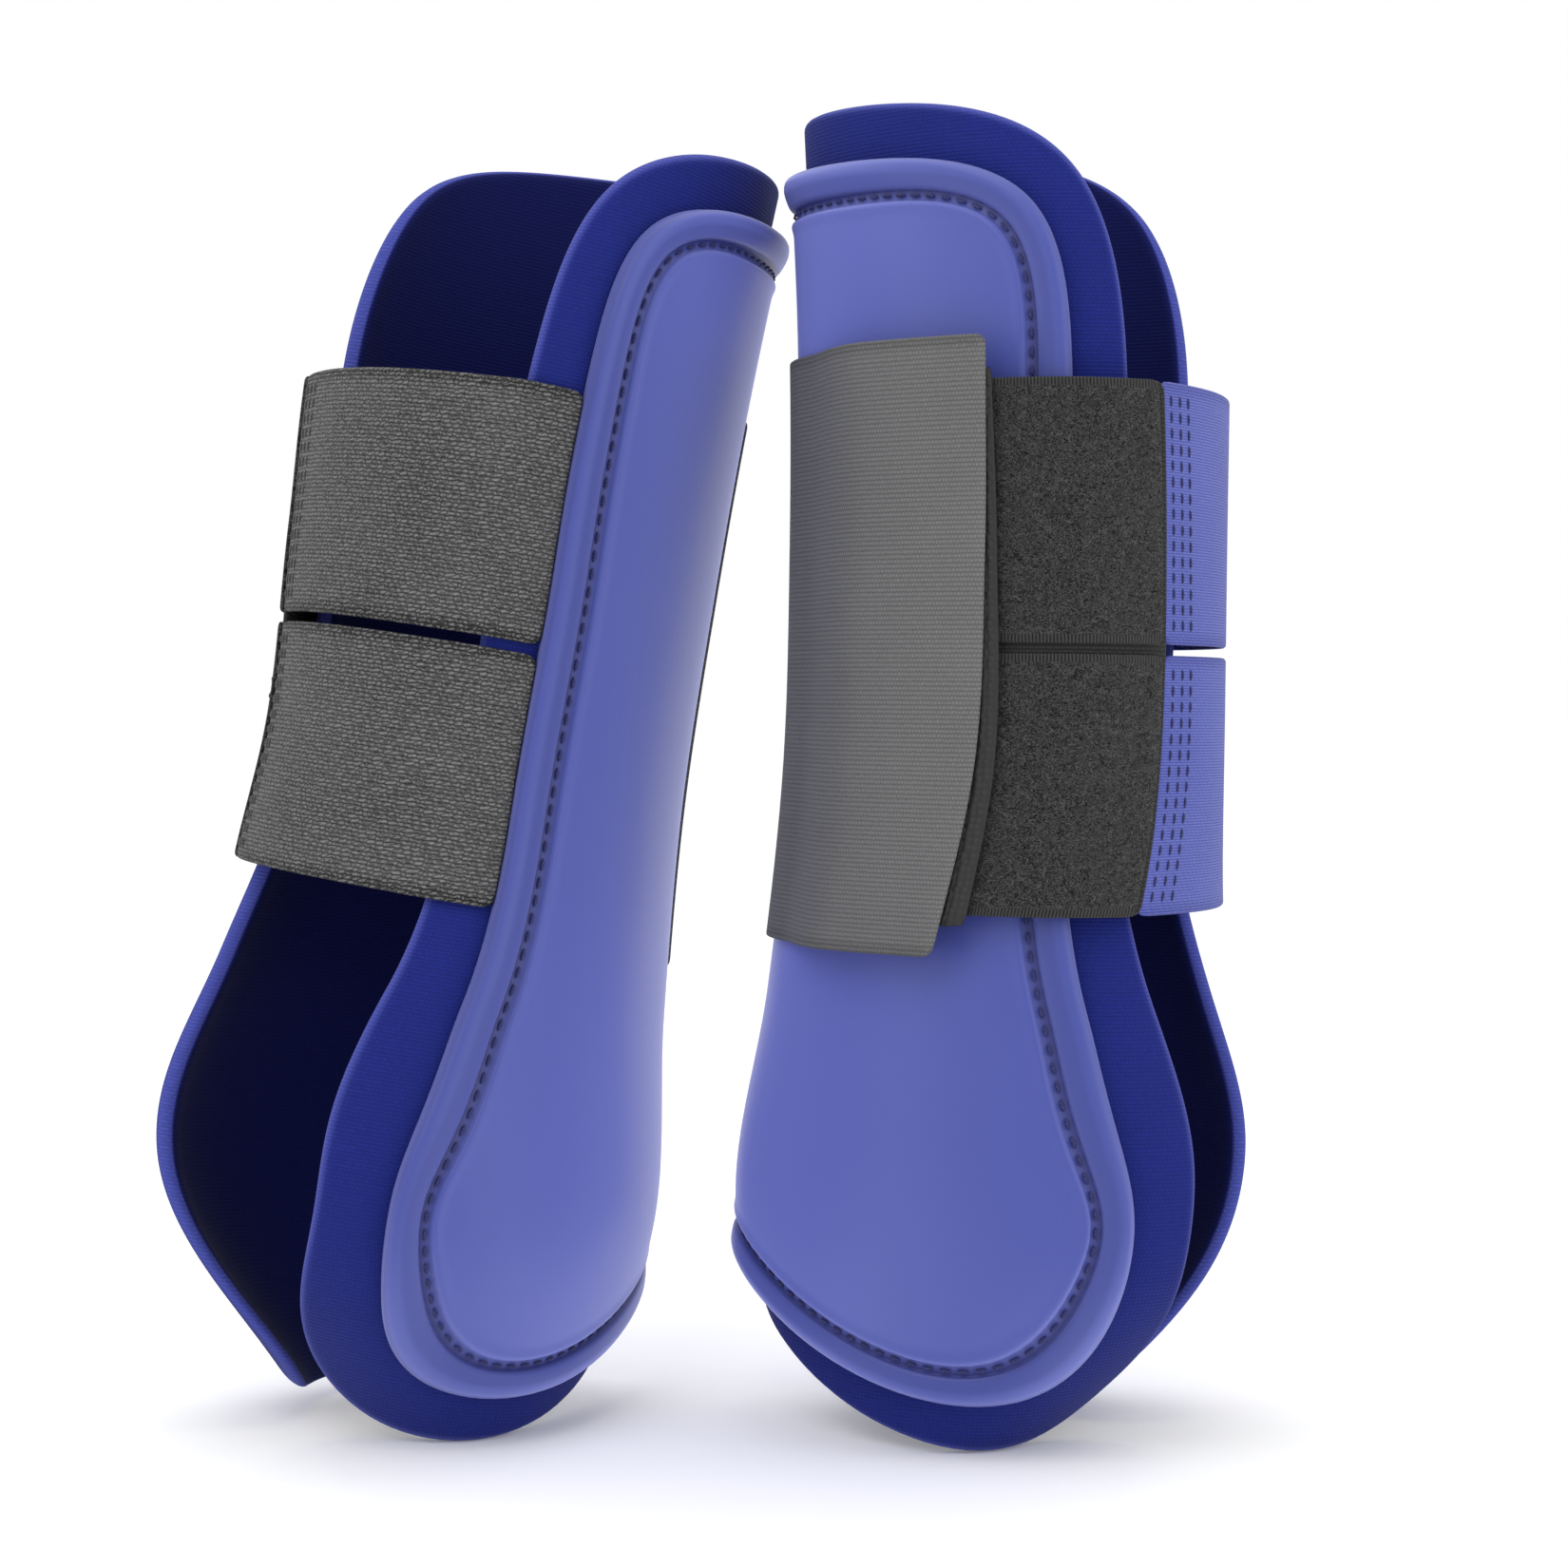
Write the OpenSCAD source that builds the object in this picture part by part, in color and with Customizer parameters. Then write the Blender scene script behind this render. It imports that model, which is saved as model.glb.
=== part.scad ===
// A pair of tendon boots for a horse's front legs, standing side by side.
// Each boot is a moulded shell sewn over a padded lining, with two elastic straps that
// cross the open front, a hook-and-loop closure panel and a woven cover flap.
// Boot frame: +X forward to the open front, -Y to the closure side, +Z up the leg.
// A place on a boot is given by its girth from the back line (closure side positive),
// its height, and how far it stands off the lining's outer face.

/* [Leg] */
// Height of the boot from its lowest lobe to its top edge
boot_h = 267; // [220:1:320]
// Front-to-back size of the boot round the cannon
cannon_depth = 83; // [70:1:100]
// Side-to-side size of the boot round the cannon
cannon_width = 72; // [60:1:90]
// Front-to-back size of the boot round the fetlock
fetlock_depth = 108; // [95:1:130]
// Side-to-side size of the boot round the fetlock
fetlock_width = 86; // [76:1:105]

/* [Cut of the flaps] */
// Girth from the back line to the flap's edge at the top
top_reach = 96; // [85:1:110]
// Girth from the back line to the flap's edge along the cannon
cannon_reach = 92; // [82:1:105]
// Girth from the back line to the widest part of the fetlock lobe
lobe_reach = 132; // [118:1:140]
// Rise of the bottom edge at the back line above the lobes
back_rise = 31; // [15:1:45]
// Width of lining that shows beyond the shell
border_w = 12; // [8:0.5:16]
// Extra width of that border at the widest part of the lobes
lobe_border = 5; // [0:0.5:8]

/* [Shell and lining] */
// Thickness of the padded lining
lining_t = 4.5; // [3:0.5:7]
// Thickness of the moulded shell
shell_t = 2.4; // [1.8:0.2:4]
// Width of the raised rim round the shell
rim_w = 6.5; // [4:0.5:9]
// Height of the raised rim above the shell
rim_h = 1.6; // [0.8:0.2:2]
// Width of the stitching groove inside the rim
groove_w = 2.4; // [1.8:0.2:4]
// Depth of the stitching groove
groove_d = 0.8; // [0.4:0.1:1.2]
// Thickness of the sewing thread
thread_t = 0.8; // [0.5:0.1:1.2]

/* [Closure] */
// Width of each elastic strap
strap_w = 50; // [40:1:56]
// Gap between the two straps
strap_gap = 2; // [2:0.5:6]
// How far the tight straps draw back from the leg's full front
strap_draw = 5.5; // [0:0.5:8]
// Thickness of the elastic straps
elastic_t = 1.5; // [1:0.1:2.5]
// Height of the middle of the closure above the middle of the boot
closure_rise = 25; // [15:1:30]
// Thickness of the woven webbing of the panel and the cover flap
web_t = 1.2; // [0.8:0.1:2]
// Thickness of the hook tapes and the shell's loop patch
hook_t = 0.9; // [0.6:0.1:1.4]
// Thickness of the loop pile tapes on the panel
pile_t = 1.1; // [0.8:0.1:1.6]
// Distance from the lining's edge to the seam of strap and panel
seam_lead = 5.5; // [4:0.5:10]
// Length of the cover flap from its fold to its free edge
flap_len = 64; // [56:1:68]
// How far the cover flap stands above and below the straps
flap_over = 8; // [4:1:12]
// How far the panel is tucked under the cover flap
panel_tuck = 18; // [12:1:22]
// Length of the cover flap's sewn end behind its fold
flap_sewn = 15; // [10:1:20]

/* [How the pair stands] */
// Turn of the left boot's front towards the viewer
left_turn = 40; // [30:1:50]
// Sideways lean of the left boot onto the right boot
left_lean = 9.7; // [6:0.1:12]
// Backward tip of the left boot
left_tip = 2.5; // [0:0.5:4]
// Turn of the right boot's front towards the viewer
right_turn = 17; // [10:1:25]
// Sideways lean of the right boot
right_lean = 0.6; // [0:0.1:2]

/* [Hidden] */

// Where each boot's back line stands on the ground plane
left_top_x = 9.087;
left_stand = [left_top_x - boot_h * sin(left_lean), 29];
right_stand = [20.1, 9.7];

// Swell of the leg at even heights: 0 at the cannon's waist, 1 at the fetlock
swell = [-1, 1, 0.55, 0, 0.1, 0.3, 0.05];
// How far the back line stands forward of the upright at the same heights
back_line = [-2, -11, -4.5, 0, 1, 0.5, -2];
// How much fuller the front of the leg section is than a plain ellipse
front_fullness = 0.25;

// Gap left between pieces that are sewn or bonded to each other
sewn_gap = 0.25;
// Gap left between pieces that move on each other
free_gap = 0.5;
// Gap between the lining and the shell, taken up by the bonding layer
bond_gap = 0.8;

// Half of the lining's outline laid flat, as the control points of a smooth closed curve
// from the middle of the top edge to the middle of the bottom edge
half_outline = [
  [0, boot_h],
  [top_reach * 0.5, boot_h],
  [top_reach * 0.93, boot_h * 0.963],
  [top_reach, boot_h * 0.8],
  [cannon_reach, boot_h * 0.625],
  [cannon_reach, boot_h * 0.46],
  [lobe_reach * 0.826, boot_h * 0.322],
  [lobe_reach * 0.985, boot_h * 0.225],
  [lobe_reach * 0.932, boot_h * 0.097],
  [lobe_reach * 0.606, -boot_h * 0.023],
  [lobe_reach * 0.242, back_rise * 0.2],
  [0, back_rise]
];
// Share of the lobes' extra border at each of those points
half_extra = [0, 0, 0, 0, 0, 0, 0.4, 1, 0.6, 0, 0, 0];
half_n = len(half_outline);
outline = concat(
  half_outline,
  [for (k = [half_n - 2 : -1 : 1]) [-half_outline[k][0], half_outline[k][1]]]
);
extra = concat(half_extra, [for (k = [half_n - 2 : -1 : 1]) half_extra[k]]);

// Cells of a boot's grid across the girth and up the height
cells_across = 24;
cells_up = 24;
// Places along the outline where its four sides meet: corners of the top and of the lobes
top_corner = 2;
lobe_corner = 8;

function ramp(a, b, n, last) = [for (k = [0 : last ? n : n - 1]) a + (b - a) * k / n];
outline_n = len(outline);
loop_places = concat(
  ramp(top_corner, lobe_corner, cells_up, false),
  ramp(lobe_corner, outline_n - lobe_corner, cells_across, false),
  ramp(outline_n - lobe_corner, outline_n - top_corner, cells_up, false),
  ramp(outline_n - top_corner, outline_n + top_corner, cells_across, false)
);

// Smooth closed curve through the control points c at place t, and its direction
function near(c, t, k) = c[(floor(t) + k + len(c)) % len(c)];
function curve(c, t) = let (u = t - floor(t)) (
  near(c, t, -1) * pow(1 - u, 3)
  + near(c, t, 0) * (3 * pow(u, 3) - 6 * u * u + 4)
  + near(c, t, 1) * (-3 * pow(u, 3) + 3 * u * u + 3 * u + 1)
  + near(c, t, 2) * pow(u, 3)
) / 6;
function curve_way(c, t) = let (u = t - floor(t)) (
  near(c, t, -1) * -pow(1 - u, 2)
  + near(c, t, 0) * (3 * u * u - 4 * u)
  + near(c, t, 1) * (-3 * u * u + 2 * u + 1)
  + near(c, t, 2) * u * u
) / 2;

// Smoothed direction from the lining's edge into the boot at each control point
inward = [
  for (k = [0 : outline_n - 1])
    let (way = curve_way(outline, k) / norm(curve_way(outline, k))) [way[1], -way[0]]
];

// One turn of the outline, moved in from the lining's edge by d
function loop(d) = [
  for (t = loop_places)
    curve(outline, t) + (d + min(d / border_w, 1) * lobe_border * curve(extra, t)) * curve(inward, t)
];

// Value of an evenly spaced table v at place x, with smooth joins
function slope(v, i) = (v[min(i + 1, len(v) - 1)] - v[max(i - 1, 0)])
  / (min(i + 1, len(v) - 1) - max(i - 1, 0));
function smooth_value(v, x) = let (
  i = min(max(floor(x), 0), len(v) - 2),
  t = min(max(x - i, -0.5), 1.5)
) (2 * pow(t, 3) - 3 * t * t + 1) * v[i] + (pow(t, 3) - 2 * t * t + t) * slope(v, i)
  + (-2 * pow(t, 3) + 3 * t * t) * v[i + 1] + (pow(t, 3) - t * t) * slope(v, i + 1);
function station(z) = z / boot_h * (len(swell) - 1);
function leg_swell(z) = smooth_value(swell, station(z));
function back_at(z) = smooth_value(back_line, station(z));
function half_depth(w) = (cannon_depth + (fetlock_depth - cannon_depth) * w) / 2;
function half_width(w) = (cannon_width + (fetlock_width - cannon_width) * w) / 2;

// Angle round the leg section of height z, from the back, of girth s
function girth_angle(s, z) = let (
  a = half_depth(leg_swell(z)),
  b = half_width(leg_swell(z)),
  q = s / sqrt((a * a + b * b) / 2) * 180 / PI
) q - (b * b - a * a) / (4 * (a * a + b * b)) * 180 / PI * sin(2 * q);

// Point at angle q round the leg section of height z, standing off the lining's face
function leg_point(q, z, off) = let (
  a = half_depth(leg_swell(z)),
  b = half_width(leg_swell(z)),
  k = front_fullness,
  way_x = a * sin(q),
  way_y = b * (cos(q) - k * cos(2 * q)),
  len_xy = norm([way_x, way_y])
) [
  back_at(z) + a - a * cos(q) - off * way_y / len_xy,
  -b * sin(q) * (1 - k * cos(q)) - off * way_x / len_xy,
  z
];
function skin(s, z, off) = leg_point(girth_angle(s, z), z, off);

// Heights of the closure
closure_z = boot_h / 2 + closure_rise;
closure_top = closure_z + strap_gap / 2 + strap_w;
closure_low = closure_z - strap_gap / 2 - strap_w;
flap_top = closure_top + flap_over;
flap_low = closure_low - flap_over;

// Girth of an outline's closure-side edge at height z, d in from the lining's edge
function edge_girth(d, z) = let (p = loop(d)) lookup(z, [for (k = [0 : cells_up]) [p[k][1], p[k][0]]]);

// Faces of the layers, counted outwards from the lining's outer face
shell_face = bond_gap + shell_t;
rim_face = shell_face + rim_h;
groove_face = shell_face - groove_d;
patch_face = shell_face + sewn_gap + hook_t;
panel_hook_low = max(patch_face, rim_face) + free_gap;
panel_low = panel_hook_low + hook_t + sewn_gap;
pile_low = panel_low + web_t + sewn_gap;
flap_hook_low = pile_low + pile_t + free_gap;
flap_high_low = flap_hook_low + hook_t + sewn_gap;
flap_root_low = shell_face + free_gap;

// Distance from the lining's edge to the smooth field of the shell, past rim and groove
groove_end = border_w + rim_w + groove_w + groove_d;

// Girths at which the closure's pieces start and end
fold_s = 4;
flap_edge_s = fold_s + flap_len;
panel_end_s = flap_edge_s - panel_tuck;
seam_s = edge_girth(0, closure_z) + seam_lead;
anchor_lap = 2.6;
hinge_gap = 0.5;
anchor_s = max(edge_girth(border_w, closure_low), edge_girth(border_w, closure_top)) + anchor_lap;
flap_rise_s = 22;
hook_lip = 4;
tape_margin = 3;
seam_row_pitch = 3;

// Solid between an outer and an inner grid, with any loops of points between their edges
function flat_list(g) = [for (row = g) each row];
function edge_index(n, m, k) =
  k < m ? k * (n + 1) + n
  : k < m + n ? m * (n + 1) + n - (k - m)
  : k < 2 * m + n ? (2 * m + n - k) * (n + 1)
  : k - 2 * m - n;
module skin_solid(outer, inner, loops = []) {
  m = len(outer) - 1;
  n = len(outer[0]) - 1;
  turn = 2 * (m + n);
  grid_n = (m + 1) * (n + 1);
  inner_at = grid_n + len(loops) * turn;
  edge = [for (k = [0 : turn - 1]) edge_index(n, m, k)];
  chain = concat(
    [edge],
    [for (r = [0 : 1 : len(loops) - 1]) [for (k = [0 : turn - 1]) grid_n + r * turn + k]],
    [[for (e = edge) e + inner_at]]
  );
  faces = concat(
    [for (j = [0 : m - 1], i = [0 : n - 1]) let (a = j * (n + 1) + i, d = a + n + 1)
      each [[a, a + 1, d + 1], [a, d + 1, d]]],
    [for (j = [0 : m - 1], i = [0 : n - 1]) let (a = inner_at + j * (n + 1) + i, d = a + n + 1)
      each [[a, d + 1, a + 1], [a, d, d + 1]]],
    [for (r = [0 : len(chain) - 2], k = [0 : turn - 1]) let (l = (k + 1) % turn)
      each [[chain[r][k], chain[r + 1][k], chain[r + 1][l]],
            [chain[r][k], chain[r + 1][l], chain[r][l]]]]
  );
  polyhedron(points = concat(flat_list(outer), flat_list(loops), flat_list(inner)), faces = faces);
}

// Grid that fills the outline d in from the lining's edge, set off the lining's face
function fill(d, off) = let (
  p = loop(d),
  n = cells_across,
  m = cells_up,
  turn = len(p)
) [
  for (j = [0 : m]) [
    for (i = [0 : n]) let (
      u = i / n,
      v = j / m,
      top = p[(2 * m + n + i) % turn],
      low = p[m + n - i],
      left = p[2 * m + n - j],
      right = p[j],
      corners = (1 - u) * (1 - v) * p[2 * m + n] + u * (1 - v) * p[0]
        + (1 - u) * v * p[m + n] + u * v * p[m],
      q = (1 - v) * top + v * low + (1 - u) * left + u * right - corners
    ) skin(q[0], q[1], off)
  ]
];
function ring(d, off) = [for (q = loop(d)) skin(q[0], q[1], off)];

// Thin closed cord of square section that runs round the outline
module ring_cord(d, low, t) {
  rings = [ring(d - t / 2, low), ring(d - t / 2, low + t), ring(d + t / 2, low + t), ring(d + t / 2, low)];
  turn = len(rings[0]);
  polyhedron(
    points = flat_list(rings),
    faces = [for (r = [0 : 3], k = [0 : turn - 1]) let (
      a = r * turn, b = ((r + 1) % 4) * turn, l = (k + 1) % turn
    ) each [[a + k, b + l, b + k], [a + k, a + l, b + l]]]
  );
}

// Strip of webbing from girth s1 to s2 and height z1 to z2, at offset low(s), t thick
module strip(girths, z1, z2, rows, lows, t) {
  heights = [for (j = [0 : rows]) z2 + (z1 - z2) * j / rows];
  function face(up) = [for (z = heights) [for (i = [0 : len(girths) - 1])
    skin(girths[i], z, lows[i] + up)]];
  skin_solid(face(t), face(0));
}
function girth_steps(s1, s2, n) = [for (i = [0 : n]) s1 + (s2 - s1) * i / n];
function level(v, n) = [for (i = [0 : n]) v];

// Row of stitches running up the closure at girth s
module stitch_row(s, z1, z2, low) {
  strip([s - thread_t / 2, s + thread_t / 2], z1, z2, 4, level(low, 1), thread_t);
}

module lining() {
  color([0.16, 0.19, 0.5]) skin_solid(fill(0, 0), fill(0, -lining_t));
}

module shell() {
  rim_round = min(1.2, rim_w / 4);
  groove_in = border_w + rim_w;
  floor_in = groove_in + groove_w;
  color([0.39, 0.43, 0.74]) skin_solid(
    fill(groove_end, shell_face),
    fill(groove_end, bond_gap),
    [
      ring(floor_in, groove_face),
      ring(groove_in, groove_face),
      ring(groove_in - rim_round / 2, rim_face - rim_round / 2),
      ring(groove_in - rim_w / 2, rim_face),
      ring(border_w + rim_round / 2, rim_face - rim_round / 2),
      ring(border_w, groove_face),
      ring(border_w, bond_gap)
    ]
  );
}

module edge_stitching() {
  color([0.08, 0.1, 0.3]) ring_cord(
    border_w + rim_w + groove_w / 2, groove_face + sewn_gap, thread_t
  );
}

// Sewn end of a strap, which comes out from under the shell's rim
module strap_anchor(z1, z2, tint) {
  rows = 6;
  heights = [for (j = [0 : rows]) z2 + (z1 - z2) * j / rows];
  function face(off) = [for (z = heights) [for (i = [0 : 2]) let (
    root = edge_girth(border_w, z) + hinge_gap,
    tip = anchor_s - hinge_gap / 2
  ) skin(-tip + (tip - root) * i / 2, z, off)]];
  color(tint) skin_solid(face(free_gap + elastic_t), face(free_gap));
}

// Point on an elastic strap, a girth of run back from the seam, at height z and up from its
// inner face. Its ends lie along the boot, and between them it has the closure's middle section.
strap_run = PI * (half_depth(leg_swell(closure_z)) + half_width(leg_swell(closure_z)))
  - seam_s - anchor_s;
lining_lap = max(edge_girth(0, closure_low), edge_girth(0, closure_top)) - anchor_s + 1;
settle_run = 14;
function ease(x) = let (t = min(max(x, 0), 1)) t * t * (3 - 2 * t);
function strap_point(run, z, up) = let (
  q1 = girth_angle(seam_s + sewn_gap, z) - 360,
  q2 = girth_angle(-anchor_s - hinge_gap / 2, z),
  q = q1 + (q2 - q1) * run / strap_run,
  left_over = strap_run - run,
  free = ease(run / settle_run) * ease((left_over - lining_lap) / settle_run),
  off = free_gap + (panel_low - free_gap) * ease(left_over / strap_run / 0.7) + up,
  draw = strap_draw * sin(180 * min(run / (strap_run - lining_lap), 1)),
  near_p = leg_point(q, z, off),
  mid_p = leg_point(q, closure_z, off)
) [
  near_p[0] + (mid_p[0] - near_p[0]) * free - draw,
  near_p[1] + (mid_p[1] - near_p[1]) * free,
  z
];
module strap_strip(run1, run2, cols, z1, z2, low, t) {
  rows = 4;
  heights = [for (j = [0 : rows]) z2 + (z1 - z2) * j / rows];
  function face(up) = [for (z = heights) [for (run = girth_steps(run1, run2, cols))
    strap_point(run, z, up)]];
  skin_solid(face(low + t), face(low));
}
module strap(z1, z2, tint) {
  color(tint) strap_strip(0, strap_run, 20, z1, z2, 0, elastic_t);
}

// Rows of stitches that join each strap to the panel
module strap_seam_stitching(tint) {
  color(tint) for (row = [1 : 3], side = [-1, 1]) {
    mid = closure_z + side * (strap_gap + strap_w) / 2;
    run = row * seam_row_pitch;
    strap_strip(
      run - thread_t / 2, run + thread_t / 2, 1,
      mid - strap_w / 2 + tape_margin, mid + strap_w / 2 - tape_margin,
      elastic_t + sewn_gap, thread_t
    );
  }
}

module closure_panel() {
  cols = 9;
  color([0.2, 0.2, 0.21]) strip(
    girth_steps(panel_end_s, seam_s, cols), closure_low, closure_top, 8,
    level(panel_low, cols), web_t
  );
}

module loop_tape(z1, z2) {
  cols = 9;
  color([0.22, 0.22, 0.23]) strip(
    girth_steps(panel_end_s + sewn_gap, seam_s - sewn_gap, cols), z1, z2, 4,
    level(pile_low, cols), pile_t
  );
}

module panel_hook_tape() {
  cols = 6;
  color([0.12, 0.12, 0.13]) strip(
    girth_steps(panel_end_s + tape_margin, edge_girth(border_w + rim_w, closure_z), cols),
    closure_low + tape_margin, closure_top - tape_margin, 8,
    level(panel_hook_low, cols), hook_t
  );
}

// Loop patch on the shell, under the panel
module shell_loop_patch() {
  cols = 7;
  color([0.1, 0.1, 0.12]) strip(
    girth_steps(panel_end_s, edge_girth(groove_end, closure_z) - tape_margin, cols),
    closure_low + tape_margin, closure_top - tape_margin, 9,
    level(shell_face + sewn_gap, cols), hook_t
  );
}

function flap_low_face(s) = let (
  x = min(max((s - flap_rise_s) / (panel_end_s - 4 - flap_rise_s), 0), 1)
) flap_root_low + (flap_high_low - flap_root_low) * x * x * (3 - 2 * x);

module cover_flap() {
  girths = girth_steps(fold_s + hinge_gap / 2, flap_edge_s, 12);
  color([0.46, 0.46, 0.46]) strip(
    girths, flap_low, flap_top, 9, [for (s = girths) flap_low_face(s)], web_t
  );
}

// Hook tape under the cover flap, standing a little beyond its free edge
module flap_hook_tape() {
  cols = 5;
  color([0.1, 0.1, 0.1]) strip(
    girth_steps(panel_end_s - 2, flap_edge_s + hook_lip, cols),
    flap_low + 2 * tape_margin, flap_top - 2 * tape_margin, 8,
    level(flap_hook_low, cols), hook_t
  );
}

// Sewn end of the cover flap, behind the fold
module cover_flap_anchor() {
  cols = 4;
  color([0.46, 0.46, 0.46]) strip(
    girth_steps(fold_s - flap_sewn, fold_s - hinge_gap / 2, cols), flap_low, flap_top, 9,
    level(flap_root_low, cols), web_t
  );
}

module flap_anchor_stitching() {
  color([0.3, 0.3, 0.3]) for (inset = [tape_margin, 2 * tape_margin]) stitch_row(
    fold_s - flap_sewn + inset, flap_low + tape_margin, flap_top - tape_margin,
    flap_root_low + web_t + sewn_gap
  );
}

// How far the lining's lowest point is above the boot's own base, once tipped and leaned
function lowest(tip, lean, turn) = min([
  for (off = [0, -lining_t], p = ring(0, off)) let (
    x = p[0] * cos(turn) - p[1] * sin(turn),
    y = p[0] * sin(turn) + p[1] * cos(turn)
  ) cos(lean) * (sin(tip) * y + cos(tip) * p[2]) - sin(lean) * x
]);
module stand(place, tip, lean, turn) {
  translate([place[0], place[1], -lowest(tip, lean, turn)])
    rotate([tip, lean, 0]) rotate([0, 0, turn]) children();
}
module left() {
  stand(left_stand, -left_tip, left_lean, 180 + left_turn) children();
}
module right() {
  stand(right_stand, 0, right_lean, -right_turn) children();
}

upper = [closure_z + strap_gap / 2, closure_top];
lower = [closure_low, closure_z - strap_gap / 2];
grey = [0.36, 0.36, 0.36];
blue = [0.42, 0.45, 0.78];
navy = [0.1, 0.12, 0.35];

left() lining();  // left_lining
left() shell();  // left_shell
left() edge_stitching();  // left_edge_stitching
left() strap_anchor(upper[0], upper[1], grey);  // left_upper_strap_anchor
left() strap_anchor(lower[0], lower[1], grey);  // left_lower_strap_anchor
left() shell_loop_patch();  // left_shell_loop_patch
left() cover_flap_anchor();  // left_cover_flap_anchor
left() flap_anchor_stitching();  // left_flap_anchor_stitching
left() strap(upper[0], upper[1], grey);  // left_upper_strap
left() strap(lower[0], lower[1], grey);  // left_lower_strap
left() closure_panel();  // left_closure_panel
left() loop_tape(upper[0], upper[1]);  // left_upper_loop_tape
left() loop_tape(lower[0], lower[1]);  // left_lower_loop_tape
left() panel_hook_tape();  // left_panel_hook_tape
left() strap_seam_stitching(grey);  // left_strap_seam_stitching
left() cover_flap();  // left_cover_flap
left() flap_hook_tape();  // left_flap_hook_tape
right() lining();  // right_lining
right() shell();  // right_shell
right() edge_stitching();  // right_edge_stitching
right() strap_anchor(upper[0], upper[1], blue);  // right_upper_strap_anchor
right() strap_anchor(lower[0], lower[1], blue);  // right_lower_strap_anchor
right() shell_loop_patch();  // right_shell_loop_patch
right() cover_flap_anchor();  // right_cover_flap_anchor
right() flap_anchor_stitching();  // right_flap_anchor_stitching
right() strap(upper[0], upper[1], blue);  // right_upper_strap
right() strap(lower[0], lower[1], blue);  // right_lower_strap
right() closure_panel();  // right_closure_panel
right() loop_tape(upper[0], upper[1]);  // right_upper_loop_tape
right() loop_tape(lower[0], lower[1]);  // right_lower_loop_tape
right() panel_hook_tape();  // right_panel_hook_tape
right() strap_seam_stitching(navy);  // right_strap_seam_stitching
right() cover_flap();  // right_cover_flap
right() flap_hook_tape();  // right_flap_hook_tape
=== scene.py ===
"""A standing pair of tendon boots: moulded shells on padded linings, closed by elastic straps.

Every boot is worked out in its own frame in millimetres (+X forward, -Y to the closure side,
+Z up the leg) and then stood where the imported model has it, in metres.
"""

import logging
import math
from dataclasses import dataclass, field
from enum import Enum
from typing import Callable

import bpy
import numpy as np
from mathutils import Matrix, Vector
from numpy.typing import NDArray


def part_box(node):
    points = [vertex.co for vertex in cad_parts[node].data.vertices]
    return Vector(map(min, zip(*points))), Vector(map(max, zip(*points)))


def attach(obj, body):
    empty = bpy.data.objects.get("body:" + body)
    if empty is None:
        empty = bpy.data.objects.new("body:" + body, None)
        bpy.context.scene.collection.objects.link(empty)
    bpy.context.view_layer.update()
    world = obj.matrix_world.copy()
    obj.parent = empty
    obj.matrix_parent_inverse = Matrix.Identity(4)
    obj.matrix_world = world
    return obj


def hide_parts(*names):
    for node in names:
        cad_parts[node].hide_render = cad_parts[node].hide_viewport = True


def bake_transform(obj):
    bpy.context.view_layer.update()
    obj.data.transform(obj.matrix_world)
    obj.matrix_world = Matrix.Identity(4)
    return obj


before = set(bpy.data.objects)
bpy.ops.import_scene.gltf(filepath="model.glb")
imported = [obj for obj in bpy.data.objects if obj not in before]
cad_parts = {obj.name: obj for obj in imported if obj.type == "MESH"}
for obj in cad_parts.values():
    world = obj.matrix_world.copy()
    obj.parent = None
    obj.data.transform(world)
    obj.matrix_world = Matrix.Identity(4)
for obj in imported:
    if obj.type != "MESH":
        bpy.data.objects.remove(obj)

Array = NDArray[np.float64]
Colour = tuple[float, float, float, float]
SheetForm = Callable[[Array, Array, Array], Array]

MM = 0.001
UV_MM = 100.0
BOOT_H = 267.0
log = logging.getLogger("tendon_boots")


class Side(Enum):
    """The two boots of the pair, as the viewer sees them."""

    LEFT = "left"
    RIGHT = "right"


class Hold(Enum):
    """How a sheet of cloth is held on the boot."""

    LAID = "laid"
    STRETCHED = "stretched"


def ease(x: Array | float) -> Array:
    """Smooth step of x from 0 to 1: three x squared less two x cubed, held at both ends."""
    t = np.clip(x, 0.0, 1.0)
    return t * t * (3.0 - 2.0 * t)


# ---------------------------------------------------------------- the leg's form and the cut


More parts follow.
